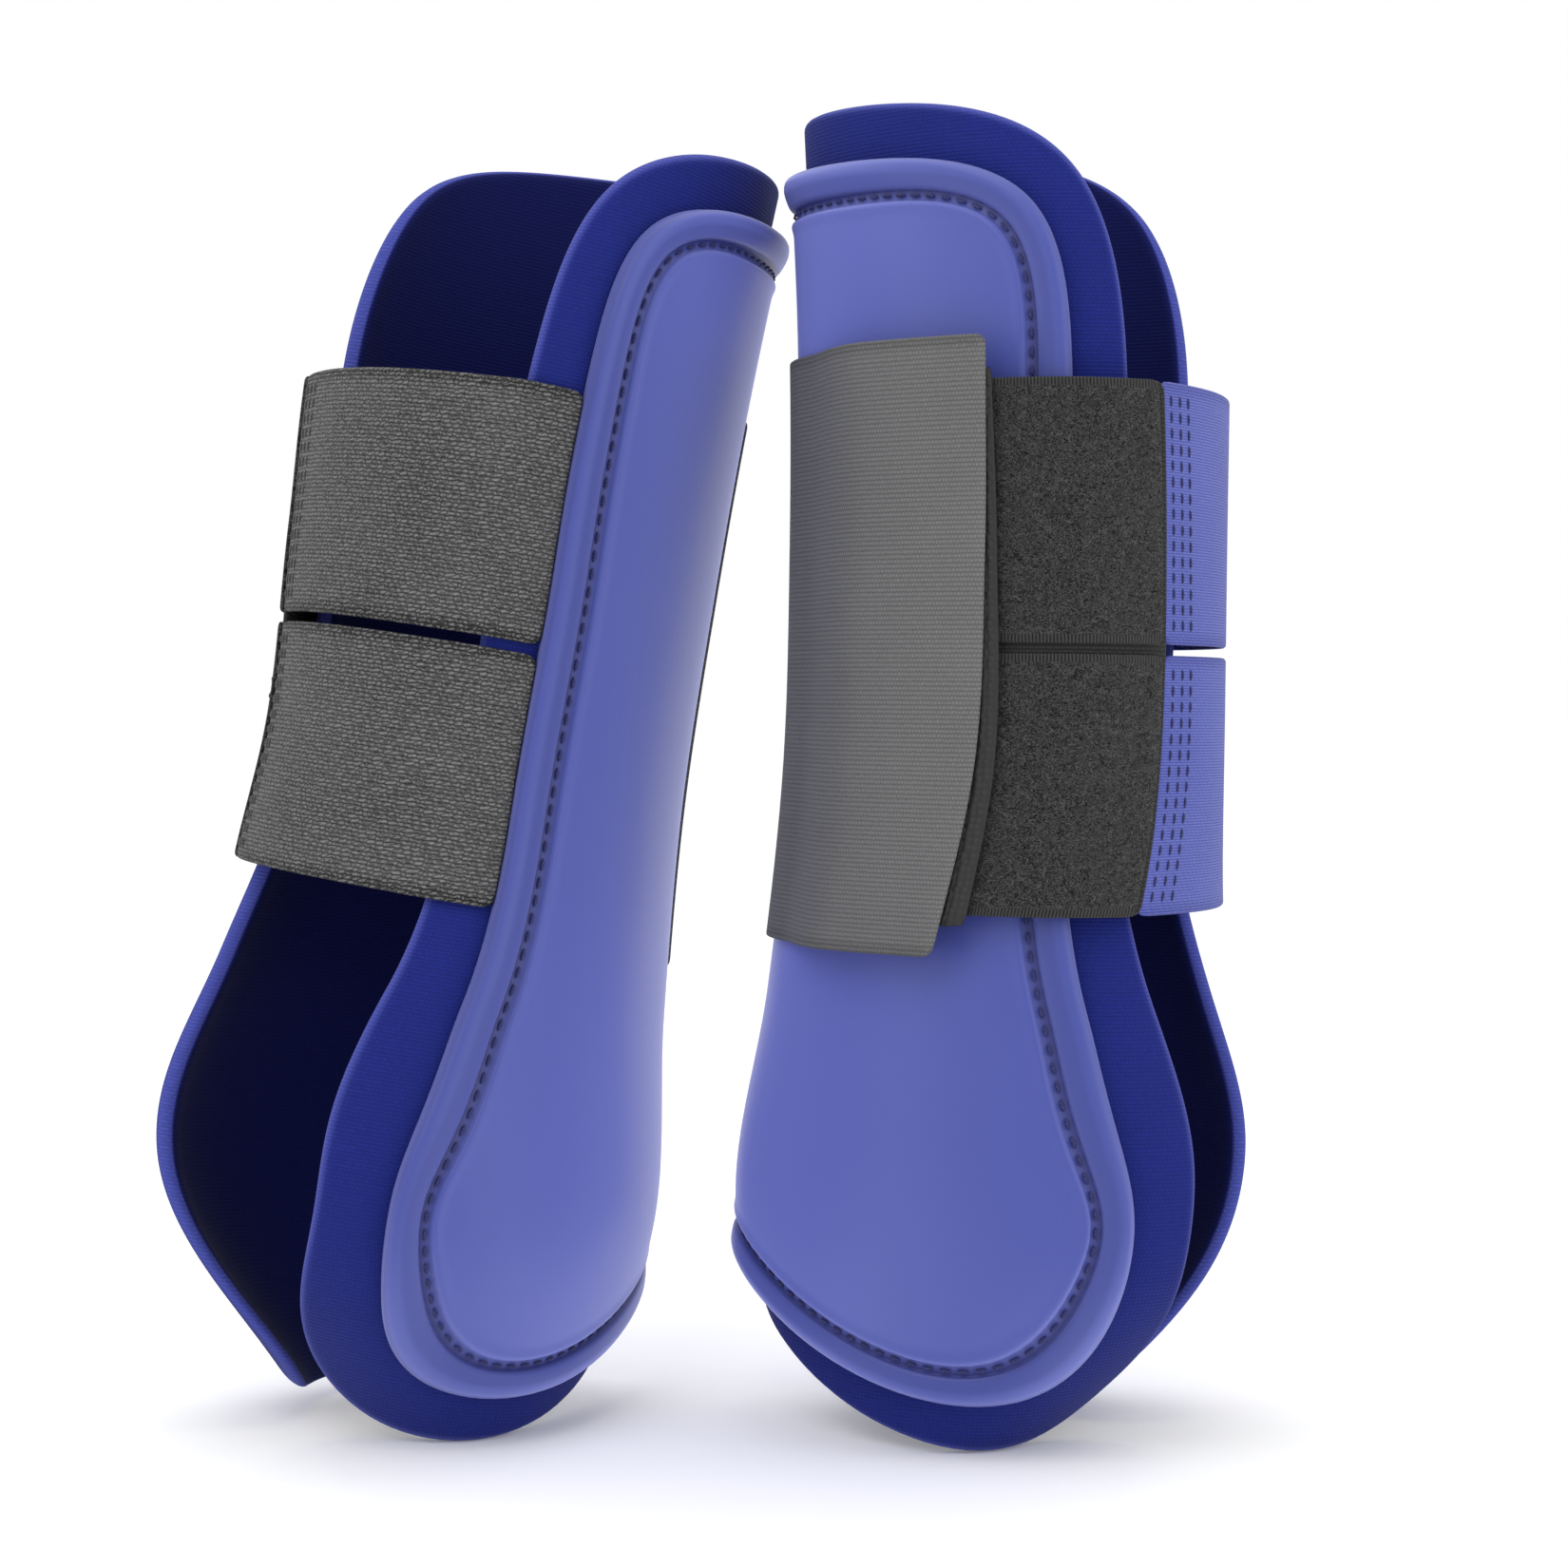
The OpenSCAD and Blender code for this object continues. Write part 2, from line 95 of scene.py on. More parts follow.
@dataclass(frozen=True)
class LegForm:
    """The outer face of the lining, as sections across the leg from the ground up.

    Each section is an ellipse whose front is fuller than its back. Its size swells from the
    cannon's waist (0) to the fetlock (1), and its back stands forward by the back line.
    """

    boot_h: float = BOOT_H
    cannon_depth: float = 83.0
    cannon_width: float = 72.0
    fetlock_depth: float = 108.0
    fetlock_width: float = 86.0
    front_fullness: float = 0.25
    swell: tuple[float, ...] = (-1, 1, 0.55, 0, 0.1, 0.3, 0.05)
    back_line: tuple[float, ...] = (-2, -11, -4.5, 0, 1, 0.5, -2)

    def along(self, table: tuple[float, ...], z: Array) -> Array:
        """Value of an evenly spaced table at height z, by cubic pieces with matched slopes.

        Args:
            table: values at even heights from the ground to the top edge.
            z: heights in millimetres.

        Returns:
            The table's smooth value at each height.
        """
        v = np.asarray(table, float)
        slope = np.gradient(v)
        x = np.asarray(z, float) / self.boot_h * (len(v) - 1)
        i = np.clip(np.floor(x), 0, len(v) - 2).astype(int)
        t = np.clip(x - i, -0.5, 1.5)
        t2, t3 = t * t, t * t * t
        return (
            (2 * t3 - 3 * t2 + 1) * v[i]
            + (t3 - 2 * t2 + t) * slope[i]
            + (3 * t2 - 2 * t3) * v[i + 1]
            + (t3 - t2) * slope[i + 1]
        )

    def halves(self, z: Array) -> tuple[Array, Array]:
        """Half depth and half width of the section at height z."""
        w = self.along(self.swell, z)
        depth = self.cannon_depth + (self.fetlock_depth - self.cannon_depth) * w
        width = self.cannon_width + (self.fetlock_width - self.cannon_width) * w
        return depth / 2, width / 2

    def girth_angle(self, s: Array, z: Array) -> Array:
        """Angle round the section at height z for a girth s measured from the back line.

        The angle is the girth over the ellipse's mean radius, corrected by the second
        harmonic of its arc length.
        """
        a, b = self.halves(z)
        q = s / np.sqrt((a * a + b * b) / 2)
        return q - (b * b - a * a) / (4 * (a * a + b * b)) * np.sin(2 * q)

    def at_angle(self, q: Array, z: Array, off: Array) -> Array:
        """Point at angle q round the section of height z, off the lining's outer face.

        Forward is the back line plus half depth times one less the cosine; sideways is half
        width times the sine, times one less the fullness times the cosine. The offset runs
        along the section's outward normal.
        """
        q, z, off = np.broadcast_arrays(q, z, off)
        a, b = self.halves(z)
        k = self.front_fullness
        way_x = a * np.sin(q)
        way_y = b * (np.cos(q) - k * np.cos(2 * q))
        size = np.hypot(way_x, way_y)
        forward = self.along(self.back_line, z) + a - a * np.cos(q) - off * way_y / size
        sideways = -b * np.sin(q) * (1 - k * np.cos(q)) - off * way_x / size
        return np.stack([forward, sideways, z.astype(float)], -1)

    def skin(self, s: Array, z: Array, off: Array) -> Array:
        """Point at girth s and height z, standing off the lining's outer face."""
        return self.at_angle(self.girth_angle(s, z), z, off)


@dataclass(frozen=True)
class Cut:
    """The outline that the lining is cut to, laid flat as girth against height."""

    boot_h: float = BOOT_H
    top_reach: float = 96.0
    cannon_reach: float = 92.0
    lobe_reach: float = 132.0
    back_rise: float = 31.0
    border_w: float = 12.0
    lobe_border: float = 5.0
    top_corner: int = 2
    lobe_corner: int = 8
    half_spans: int = 11

    def controls(self) -> tuple[Array, Array, Array]:
        """Control points, extra border and inward directions round the whole outline."""
        h, top, can, lobe, rise = (
            self.boot_h, self.top_reach, self.cannon_reach, self.lobe_reach, self.back_rise
        )
        half = np.array([
            [0, h], [top * 0.5, h], [top * 0.93, h * 0.963], [top, h * 0.8],
            [can, h * 0.625], [can, h * 0.46], [lobe * 0.826, h * 0.322],
            [lobe * 0.985, h * 0.225], [lobe * 0.932, h * 0.097],
            [lobe * 0.606, -h * 0.023], [lobe * 0.242, rise * 0.2], [0, rise],
        ])
        extra = np.array([0, 0, 0, 0, 0, 0, 0.4, 1, 0.6, 0, 0, 0])
        points = np.vstack([half, (half * [-1, 1])[-2:0:-1]])
        way = self.spline(points, np.arange(len(points)), slope=True)
        way /= np.linalg.norm(way, axis=1)[:, None]
        inward = np.stack([way[:, 1], -way[:, 0]], 1)
        return points, np.concatenate([extra, extra[-2:0:-1]])[:, None], inward

    @staticmethod
    def spline(points: Array, t: Array, slope: bool = False) -> Array:
        """Uniform cubic B-spline through closed control points at places t, or its slope."""
        t = np.asarray(t, float)
        i = np.floor(t).astype(int)
        u = (t - i)[..., None]
        p = [points[(i + k) % len(points)] for k in (-1, 0, 1, 2)]
        if slope:
            w = (-(1 - u) ** 2, 3 * u * u - 4 * u, -3 * u * u + 2 * u + 1, u * u)
            return sum(a * b for a, b in zip(w, p)) / 2
        w = ((1 - u) ** 3, 3 * u**3 - 6 * u * u + 4, -3 * u**3 + 3 * u * u + 3 * u + 1, u**3)
        return sum(a * b for a, b in zip(w, p)) / 6

    def loop(self, t: Array, inset: float) -> Array:
        """The outline at places t, moved inwards by inset and a little more at the lobes."""
        points, extra, inward = self.controls()
        more = min(inset / self.border_w, 1.0) * self.lobe_border * self.spline(extra, t)
        return self.spline(points, t) + (inset + more) * self.spline(inward, t)

    def edge_girth(self, inset: float, z: Array) -> Array:
        """Girth of the outline's edge at height z, inset from the lining's edge."""
        p = self.loop(np.linspace(self.top_corner, self.lobe_corner, 400), inset)
        order = np.argsort(p[:, 1])
        return np.interp(z, p[order, 1], p[order, 0])

    def places(self, up: int, across: int) -> Array:
        """Places round the outline: down one side, along the bottom, up the other, and over."""
        n = 2 * self.half_spans
        a, b = self.top_corner, self.lobe_corner
        return np.concatenate([
            np.linspace(a, b, up, endpoint=False),
            np.linspace(b, n - b, across, endpoint=False),
            np.linspace(n - b, n - a, up, endpoint=False),
            np.linspace(n - a, n + a, across, endpoint=False),
        ])


@dataclass(frozen=True)
class Build:
    """Thicknesses, gaps and places of the boot's layers, counted off the lining's face."""

    lining_t: float = 4.5
    shell_t: float = 2.4
    rim_w: float = 6.5
    rim_h: float = 1.6
    groove_w: float = 2.4
    groove_d: float = 0.8
    strap_w: float = 50.0
    strap_gap: float = 2.0
    strap_bow: float = 9.5
    panel_sink: float = 3.0
    elastic_t: float = 1.5
    closure_rise: float = 25.0
    web_t: float = 1.2
    hook_t: float = 0.9
    pile_t: float = 1.1
    seam_lead: float = 5.5
    flap_len: float = 64.0
    flap_over: float = 8.0
    panel_tuck: float = 18.0
    flap_sewn: float = 15.0
    sewn_gap: float = 0.25
    free_gap: float = 0.5
    bond_gap: float = 0.8
    fold_s: float = 4.0
    anchor_lap: float = 2.6
    # How far the flap's hook tape shows past its free edge: a dark band that is partly the tape and
    # partly painted shadow.
    flap_rise_s: float = 22.0
    hook_and_shadow_lip: float = 4.0
    tape_margin: float = 3.0
    seam_row_pitch: float = 2.1
    sink_lead: float = 32.0

    @property
    def shell_face(self) -> float:
        """Outer face of the shell's smooth field."""
        return self.bond_gap + self.shell_t

    @property
    def rim_face(self) -> float:
        """Crown of the shell's rim."""
        return self.shell_face + self.rim_h

    @property
    def panel_hook_low(self) -> float:
        """Inner face of the panel's hook tape, clear of the loop patch and of the rim."""
        patch = self.shell_face + self.sewn_gap + self.hook_t
        return max(patch, self.rim_face) + self.free_gap

    @property
    def panel_low(self) -> float:
        """Inner face of the closure panel."""
        return self.panel_hook_low + self.hook_t + self.sewn_gap

    @property
    def pile_low(self) -> float:
        """Inner face of the loop tapes on the panel."""
        return self.panel_low + self.web_t + self.sewn_gap

    @property
    def flap_hook_low(self) -> float:
        """Inner face of the flap's hook tape."""
        return self.pile_low + self.pile_t + self.free_gap

    @property
    def flap_high_low(self) -> float:
        """Inner face of the cover flap where it lies over the panel."""
        return self.flap_hook_low + self.hook_t + self.sewn_gap

    @property
    def flap_root_low(self) -> float:
        """Inner face of the cover flap at its sewn end."""
        return self.shell_face + self.free_gap


@dataclass(frozen=True)
class Stand:
    """Where a boot stands: its back line's place, and how it is tipped, leaned and turned."""

    place: tuple[float, float]
    tip: float
    lean: float
    turn: float

    def turning(self) -> Array:
        """Rotation from the boot's frame to the row frame."""
        spin = Matrix.Rotation(math.radians(self.turn), 3, "Z")
        tip = Matrix.Rotation(math.radians(self.tip), 3, "X")
        lean = Matrix.Rotation(math.radians(self.lean), 3, "Y")
        return np.array(lean @ tip @ spin)

    def to_row(self, points: Array, lift: float) -> Array:
        """Points of the boot in the row frame, in metres.

        Args:
            points: places in the boot's frame, in millimetres.
            lift: how far the boot's base is above the ground, in millimetres.

        Returns:
            The same places, turned, set down and scaled to metres.
        """
        at = np.array([self.place[0], self.place[1], lift])
        return (points @ self.turning().T + at) * MM


# ---------------------------------------------------------------- meshes


@dataclass
class Surface:
    """A closed mesh in the making: points, faces, a flat map in millimetres and masks."""

    points: Array
    faces: list[tuple[int, ...]]
    flat: Array
    masks: dict[str, Array] = field(default_factory=dict)

    def to_object(self, name: str, material: bpy.types.Material) -> bpy.types.Object:
        """Make a Blender object of the mesh.

        Args:
            name: the piece's name.
            material: its finish.

        Returns:
            The object, at the origin and smooth shaded.
        """
        mesh = bpy.data.meshes.new(name)
        mesh.from_pydata(self.points.tolist(), [], self.faces)
        mesh.update()
        corner = np.empty(len(mesh.loops), dtype=np.int32)
        mesh.loops.foreach_get("vertex_index", corner)
        mesh.uv_layers.new(name="UVMap").data.foreach_set(
            "uv", (self.flat[corner] / UV_MM).astype(np.float32).ravel()
        )
        for key, values in self.masks.items():
            mesh.attributes.new(key, "FLOAT", "POINT").data.foreach_set(
                "value", np.asarray(values, np.float32)
            )
        mesh.polygons.foreach_set("use_smooth", np.ones(len(mesh.polygons), bool))
        mesh.materials.append(material)
        obj = bpy.data.objects.new(name, mesh)
        bpy.context.scene.collection.objects.link(obj)
        return obj


def coons(loop: Array, up: int, across: int) -> Array:
    """Fill a closed loop with a grid: the mean of two rulings less the bilinear corners.

    Args:
        loop: points round the loop, down the right, along the bottom, up the left and over.
        up: cells up the sides.
        across: cells along the top and the bottom.

    Returns:
        Grid of points, top row first and left column first.
    """
    closed = np.vstack([loop, loop[:1]])
    right = closed[: up + 1]
    low = closed[up : up + across + 1][::-1]
    left = closed[up + across : 2 * up + across + 1][::-1]
    top = closed[2 * up + across :]
    u = np.linspace(0, 1, across + 1)[None, :, None]
    v = np.linspace(0, 1, up + 1)[:, None, None]
    corners = (
        (1 - u) * (1 - v) * left[0] + u * (1 - v) * right[0]
        + (1 - u) * v * left[-1] + u * v * right[-1]
    )
    return (1 - v) * top + v * low + (1 - u) * left[:, None] + u * right[:, None] - corners


def closed_skin(top: Array, rings: Array, under: Array) -> list[tuple[int, ...]]:
    """Faces of a solid whose outer and inner grids are joined round the edge by rings.

    Args:
        top: outer grid of points, rows by columns.
        rings: loops of points from the outer edge to the inner one.
        under: inner grid, of the same shape.

    Returns:
        Faces that point outwards, for the points of top, rings and under in that order.
    """
    m, n = top.shape[0] - 1, top.shape[1] - 1
    index = np.arange((m + 1) * (n + 1)).reshape(m + 1, n + 1)
    a, b, c, d = index[:-1, :-1], index[:-1, 1:], index[1:, 1:], index[1:, :-1]
    outer = np.stack([a, d, c, b], -1).reshape(-1, 4)
    inner_at = index.size + rings.shape[0] * rings.shape[1]
    inner = np.stack([a, b, c, d], -1).reshape(-1, 4) + inner_at
    edge = np.concatenate([index[:-1, n], index[m, :0:-1], index[:0:-1, 0], index[0, :-1]])
    turn = len(edge)
    chain = [edge]
    chain += [index.size + r * turn + np.arange(turn) for r in range(rings.shape[0])]
    chain.append(edge + inner_at)
    bands = [
        np.stack([p, np.roll(p, -1), np.roll(q, -1), q], -1) for p, q in zip(chain, chain[1:])
    ]
    return [tuple(f) for f in np.vstack([outer, inner, *bands]).tolist()]


def closed_surface(faces: tuple[Array, Array], rings: Array, flats: tuple[Array, Array],
                   masks: dict[str, Array]) -> Surface:
    """Join an outer and an inner grid and the rings between them into one surface.

    Args:
        faces: outer and inner grid of points.
        rings: loops of points from the outer edge to the inner one.
        flats: flat places of the grids, which are the same for both, and of the rings.
        masks: values at every point by name.

    Returns:
        The closed surface.
    """
    top, under = faces
    points = [part.reshape(-1, 3) for part in (top, rings, under)]
    grid, edge = flats
    flat = np.concatenate([grid.reshape(-1, 2), edge, grid.reshape(-1, 2)])
    return Surface(np.concatenate(points), closed_skin(top, rings, under), flat, masks)


def edge_mask(grid: Array, edge: Array, inner: float = 0.0) -> Array:
    """Mask that is 0 on the outer grid, has its own values on the edge and one value inside."""
    size = grid[..., 0].size
    return np.concatenate([np.zeros(size), edge, np.full(size, inner)])


def merge(parts: list[Surface]) -> Surface:
    """Join surfaces into one, with their faces counted on."""
    faces: list[tuple[int, ...]] = []
    at = 0
    for part in parts:
        faces += [tuple(i + at for i in f) for f in part.faces]
        at += len(part.points)
    return Surface(
        np.concatenate([p.points for p in parts]), faces, np.concatenate([p.flat for p in parts])
    )


def sample(run: Array, table: Array, x: Array) -> Array:
    """Points at arc lengths x along a path whose rows lie at the lengths in run."""
    return np.stack([np.interp(x, run, table[:, k]) for k in range(3)], -1)


@dataclass(frozen=True)
class Stitch:
    """One stitch of a sewn row: a small spindle of thread with pointed ends."""

    pitch: float
    length: float
    radius: float
    rings: int = 5
    around: int = 8

    def faces(self, count: int) -> list[tuple[int, ...]]:
        """Faces of a number of spindles, each with its rings first and its two tips last."""
        ring = np.arange(self.around)
        after = (ring + 1) % self.around
        low = np.arange(self.rings - 1)[:, None] * self.around
        high = low + self.around
        quads = np.stack([low + ring, low + after, high + after, high + ring], -1).reshape(-1, 4)
        last = (self.rings - 1) * self.around
        tip = np.full(self.around, last + self.around)
        caps = np.concatenate([
            np.stack([tip, after, ring], -1), np.stack([tip + 1, last + ring, last + after], -1),
        ])
        step = (np.arange(count) * (self.rings * self.around + 2))[:, None, None]
        faces = [tuple(f) for f in (quads[None] + step).reshape(-1, 4).tolist()]
        return faces + [tuple(f) for f in (caps[None] + step).reshape(-1, 3).tolist()]

    def row(self, path: Array, normal: Array, closed: bool = False) -> Surface:
        """A row of separate stitches at even arc length along a path.

        A spindle's rings are circles whose radius is the thread's own times the power 0.4 of
        one less the square of the place along it. Its middle stands up by half the radius.

        Args:
            path: dense points along the row, in millimetres.
            normal: outward direction at each point.
            closed: whether the row runs round to its own start.

        Returns:
            One surface that holds all the stitches.
        """
        if closed:
            path, normal = np.vstack([path, path[:1]]), np.vstack([normal, normal[:1]])
        run = np.concatenate([[0], np.cumsum(np.linalg.norm(np.diff(path, axis=0), axis=1))])
        count = max(int(run[-1] // self.pitch), 1)
        at = (np.arange(count) + 0.5) * run[-1] / count
        centre, out = sample(run, path, at), sample(run, normal, at)
        ahead = sample(run, path, np.minimum(at + 0.4, run[-1]))
        along = ahead - sample(run, path, np.maximum(at - 0.4, 0))
        along /= np.linalg.norm(along, axis=1)[:, None]
        out -= along * (out * along).sum(1)[:, None]
        out /= np.linalg.norm(out, axis=1)[:, None]
        side = np.cross(out, along)
        x = np.linspace(-1, 1, self.rings + 2)[1:-1, None]
        turn = np.arange(self.around) * 2 * math.pi / self.around
        wide = self.radius * (1 - x**2) ** 0.4
        rise = np.cos(turn) * wide + self.radius * 0.5 * (1 - x**2)
        body = (
            centre[:, None, None]
            + along[:, None, None] * (x * self.length / 2)[..., None]
            + out[:, None, None] * rise[..., None]
            + side[:, None, None] * (np.sin(turn) * wide)[..., None]
        ).reshape(count, -1, 3)
        ends = np.array([[-0.5], [0.5]]) * self.length
        points = np.concatenate([body, centre[:, None] + along[:, None] * ends], 1)
        over = np.linspace(0, self.length, points.shape[1])
        flat = np.stack(np.broadcast_arrays(over, at[:, None]), -1)
        return Surface(points.reshape(-1, 3), self.faces(count), flat.reshape(-1, 2))


@dataclass(frozen=True)
class Sheet:
    """A flat piece of cloth or tape, a rectangle with round corners and a round edge."""

    x_low: float
    x_high: float
    z_low: float
    z_high: float
    thick: float
    corner: float = 1.5
    cell: float = 2.0
    edge_rings: int = 4
    selvedge_w: float = 1.4

    def loop(self, inset: float, across: int, up: int) -> Array:
        """The rectangle's edge moved inwards, its corners pressed onto arcs."""
        half = np.array([self.x_high - self.x_low, self.z_high - self.z_low]) / 2 - inset
        mid = np.array([self.x_high + self.x_low, self.z_high + self.z_low]) / 2
        down = np.linspace(1, -1, up, endpoint=False)
        over = np.linspace(1, -1, across, endpoint=False)
        square = np.concatenate([
            np.stack([np.ones(up), down], -1), np.stack([over, -np.ones(across)], -1),
            np.stack([-np.ones(up), -down], -1), np.stack([-over, np.ones(across)], -1),
        ]) * half
        r = max(self.corner - inset, 0.2)
        beyond = np.abs(square) - (half - r)
        at_corner = (beyond > 0).all(1)
        size = np.linalg.norm(beyond, axis=1)[:, None]
        pressed = np.sign(square) * (half - r + r * beyond / np.maximum(size, 1e-9))
        return np.where(at_corner[:, None], pressed, square) + mid

    def pile(self, base: Array, seed: int) -> Array:
        """Smoothed noise over the grid, faded out close to the sheet's edges."""
        draw = np.random.default_rng(seed).normal(size=base.shape[:2])
        soft = (draw + np.roll(draw, 1, 0) + np.roll(draw, 1, 1) + np.roll(draw, -1, 0)) / 2
        margin = np.minimum(
            np.minimum(base[..., 0] - self.x_low, self.x_high - base[..., 0]),
            np.minimum(base[..., 1] - self.z_low, self.z_high - base[..., 1]),
        )
        return (soft - 0.6) * ease((margin - 1.6) / 0.6)

    def surface(self, form: SheetForm, crown: float = 0.0, seed: int | None = None) -> Surface:
        """Wrap the sheet onto a form.

        The edge is half a circle of the sheet's own thickness. A seeded sheet has a pile:
        its face stands up and down by smoothed noise, except close to its edges.

        Args:
            form: gives the point at a place along, a height and a rise off the inner face.
            crown: height of the pile, or 0 for a smooth face.
            seed: start of the pile's random draw.

        Returns:
            The sheet as a closed surface in the boot's frame.
        """
        across = max(int((self.x_high - self.x_low) / self.cell), 3)
        up = max(int((self.z_high - self.z_low) / self.cell), 3)
        r = self.thick / 2
        base = coons(self.loop(r, across, up), up, across)
        rise = np.full(base.shape[:2], self.thick)
        if seed is not None:
            rise = rise + crown * self.pile(base, seed)
        turns = np.linspace(0, math.pi, self.edge_rings + 2)[1:-1]
        loops = [self.loop(r - r * math.sin(t), across, up) for t in turns]
        rings = np.stack([
            form(p[:, 0], p[:, 1], np.full(len(p), r + r * math.cos(t)))
            for p, t in zip(loops, turns)
        ])
        top = form(base[..., 0], base[..., 1], rise)
        under = form(base[..., 0], base[..., 1], np.zeros(base.shape[:2]))
        surface = closed_surface((top, under), rings, (base, np.concatenate(loops)), {})
        height = surface.flat[:, 1]
        side = np.minimum(height - self.z_low, self.z_high - height)
        surface.masks["selvedge"] = 1 - ease((side - self.selvedge_w) / 0.5)
        return surface


# ---------------------------------------------------------------- shader node groups


class Wiring:
    """Short ways to add and link shader nodes in one node tree."""

    def __init__(self, tree: bpy.types.NodeTree) -> None:
        """Keep the tree that the nodes go into."""
        self.tree = tree

    def add(self, kind: str, **settings: object) -> bpy.types.Node:
        """Add a node of a kind and set its properties."""
        node = self.tree.nodes.new(kind)
        for key, value in settings.items():
            setattr(node, key, value)
        return node

    def feed(self, socket: bpy.types.NodeSocket, value: object) -> None:
        """Link a socket to another one, or set it to a plain value."""
        if isinstance(value, bpy.types.NodeSocket):
            self.tree.links.new(value, socket)
        else:
            socket.default_value = value

    def maths(self, operation: str, *values: object) -> bpy.types.NodeSocket:
        """Add a Math node and return its output."""
        node = self.add("ShaderNodeMath", operation=operation)
        for socket, value in zip(node.inputs, values):
            self.feed(socket, value)
        return node.outputs[0]

    def blend(self, share: object, first: object, second: object) -> bpy.types.NodeSocket:
        """Mix two colours by a share."""
        node = self.add("ShaderNodeMix", data_type="RGBA")
        self.feed(node.inputs[0], share)
        self.feed(node.inputs[6], first)
        self.feed(node.inputs[7], second)
        return node.outputs[2]

    def noise(self, vector: object, scale: float, detail: float = 3.0) -> bpy.types.NodeSocket:
        """Add a Noise texture and return its value."""
        node = self.add("ShaderNodeTexNoise")
        self.feed(node.inputs["Vector"], vector)
        self.feed(node.inputs["Scale"], scale)
        self.feed(node.inputs["Detail"], detail)
        return node.outputs[0]


def new_group(name: str, inputs: dict[str, tuple[str, float]], outputs: tuple[str, ...]
              ) -> tuple[bpy.types.NodeTree, Wiring, bpy.types.Node, bpy.types.Node]:
    """Start a shader node group.

    Args:
        name: the group's name.
        inputs: socket type and default by socket name.
        outputs: names of the value outputs.

    Returns:
        The group, its wiring, and its input and output nodes.
    """
    group = bpy.data.node_groups.new(name, "ShaderNodeTree")
    for key, (kind, value) in inputs.items():
        socket = group.interface.new_socket(key, in_out="INPUT", socket_type=kind)
        if kind == "NodeSocketFloat":
            socket.default_value = value
    for key in outputs:
        group.interface.new_socket(key, in_out="OUTPUT", socket_type="NodeSocketFloat")
    wiring = Wiring(group)
    return group, wiring, wiring.add("NodeGroupInput"), wiring.add("NodeGroupOutput")


def weave_group() -> bpy.types.NodeTree:
    """Woven cloth: raised cords along the sheet, crossed by weft that steps from cord to cord.

    A cord's height is the absolute sine of the height over its pitch. The weft is a sine
    along the sheet whose phase moves on by the step at each cord, which gives the slanting
    lines of a twill. Height adds the two by the weft share.
    """
    group, w, given, out = new_group(
        "weave",
        {"Vector": ("NodeSocketVector", 0), "Cord Pitch": ("NodeSocketFloat", 1.0),
         "Weft Pitch": ("NodeSocketFloat", 1.0), "Step": ("NodeSocketFloat", 0.5),
         "Weft Share": ("NodeSocketFloat", 0.4), "Unevenness": ("NodeSocketFloat", 0.35)},
        ("Height", "Thread"),
    )
    parts = w.add("ShaderNodeSeparateXYZ")
    w.feed(parts.inputs[0], given.outputs["Vector"])
    along = w.maths("MULTIPLY", parts.outputs[0], UV_MM)
    across = w.maths("MULTIPLY", parts.outputs[1], UV_MM)
    wobble = w.noise(given.outputs["Vector"], 90.0)
    wobble = w.maths("MULTIPLY", wobble, given.outputs["Unevenness"])
    cords = w.maths("ADD", w.maths("DIVIDE", across, given.outputs["Cord Pitch"]), wobble)
    cord = w.maths("ABSOLUTE", w.maths("SINE", w.maths("MULTIPLY", cords, math.pi)))
    phase = w.maths("MULTIPLY", w.maths("FLOOR", cords), given.outputs["Step"])
    wefts = w.maths("ADD", w.maths("DIVIDE", along, given.outputs["Weft Pitch"]), phase)
    wefts = w.maths("ADD", wefts, w.maths("MULTIPLY", wobble, 3.0))
    wave = w.maths("SINE", w.maths("MULTIPLY", wefts, 2 * math.pi))
    weft = w.maths("MULTIPLY_ADD", wave, 0.5, 0.5)
    share = given.outputs["Weft Share"]
    height = w.maths(
        "ADD",
        w.maths("MULTIPLY", cord, w.maths("SUBTRACT", 1.0, share)),
        w.maths("MULTIPLY", w.maths("MULTIPLY", weft, cord), share),
    )
    w.feed(out.inputs["Height"], height)
    w.feed(out.inputs["Thread"], weft)
    return group


def mottle_group() -> bpy.types.NodeTree:
    """Uneven tone: broad patches with a finer speckle, each by its own scale and share."""
    group, w, given, out = new_group(
        "mottle",
        {"Vector": ("NodeSocketVector", 0), "Patch Scale": ("NodeSocketFloat", 20.0),
         "Speckle Scale": ("NodeSocketFloat", 400.0), "Speckle Share": ("NodeSocketFloat", 0.4)},
        ("Tone", "Speckle"),
    )
    patch = w.noise(given.outputs["Vector"], given.outputs["Patch Scale"])
    speckle = w.noise(given.outputs["Vector"], given.outputs["Speckle Scale"], 2.0)
    share = given.outputs["Speckle Share"]
    tone = w.maths(
        "ADD",
        w.maths("MULTIPLY", patch, w.maths("SUBTRACT", 1.0, share)),
        w.maths("MULTIPLY", speckle, share),
    )
    w.feed(out.inputs["Tone"], tone)
    w.feed(out.inputs["Speckle"], speckle)
    return group


def toned(colour: Colour, share: float) -> Colour:
    """A colour made deeper or paler by a share."""
    return (colour[0] * share, colour[1] * share, colour[2] * share, 1.0)


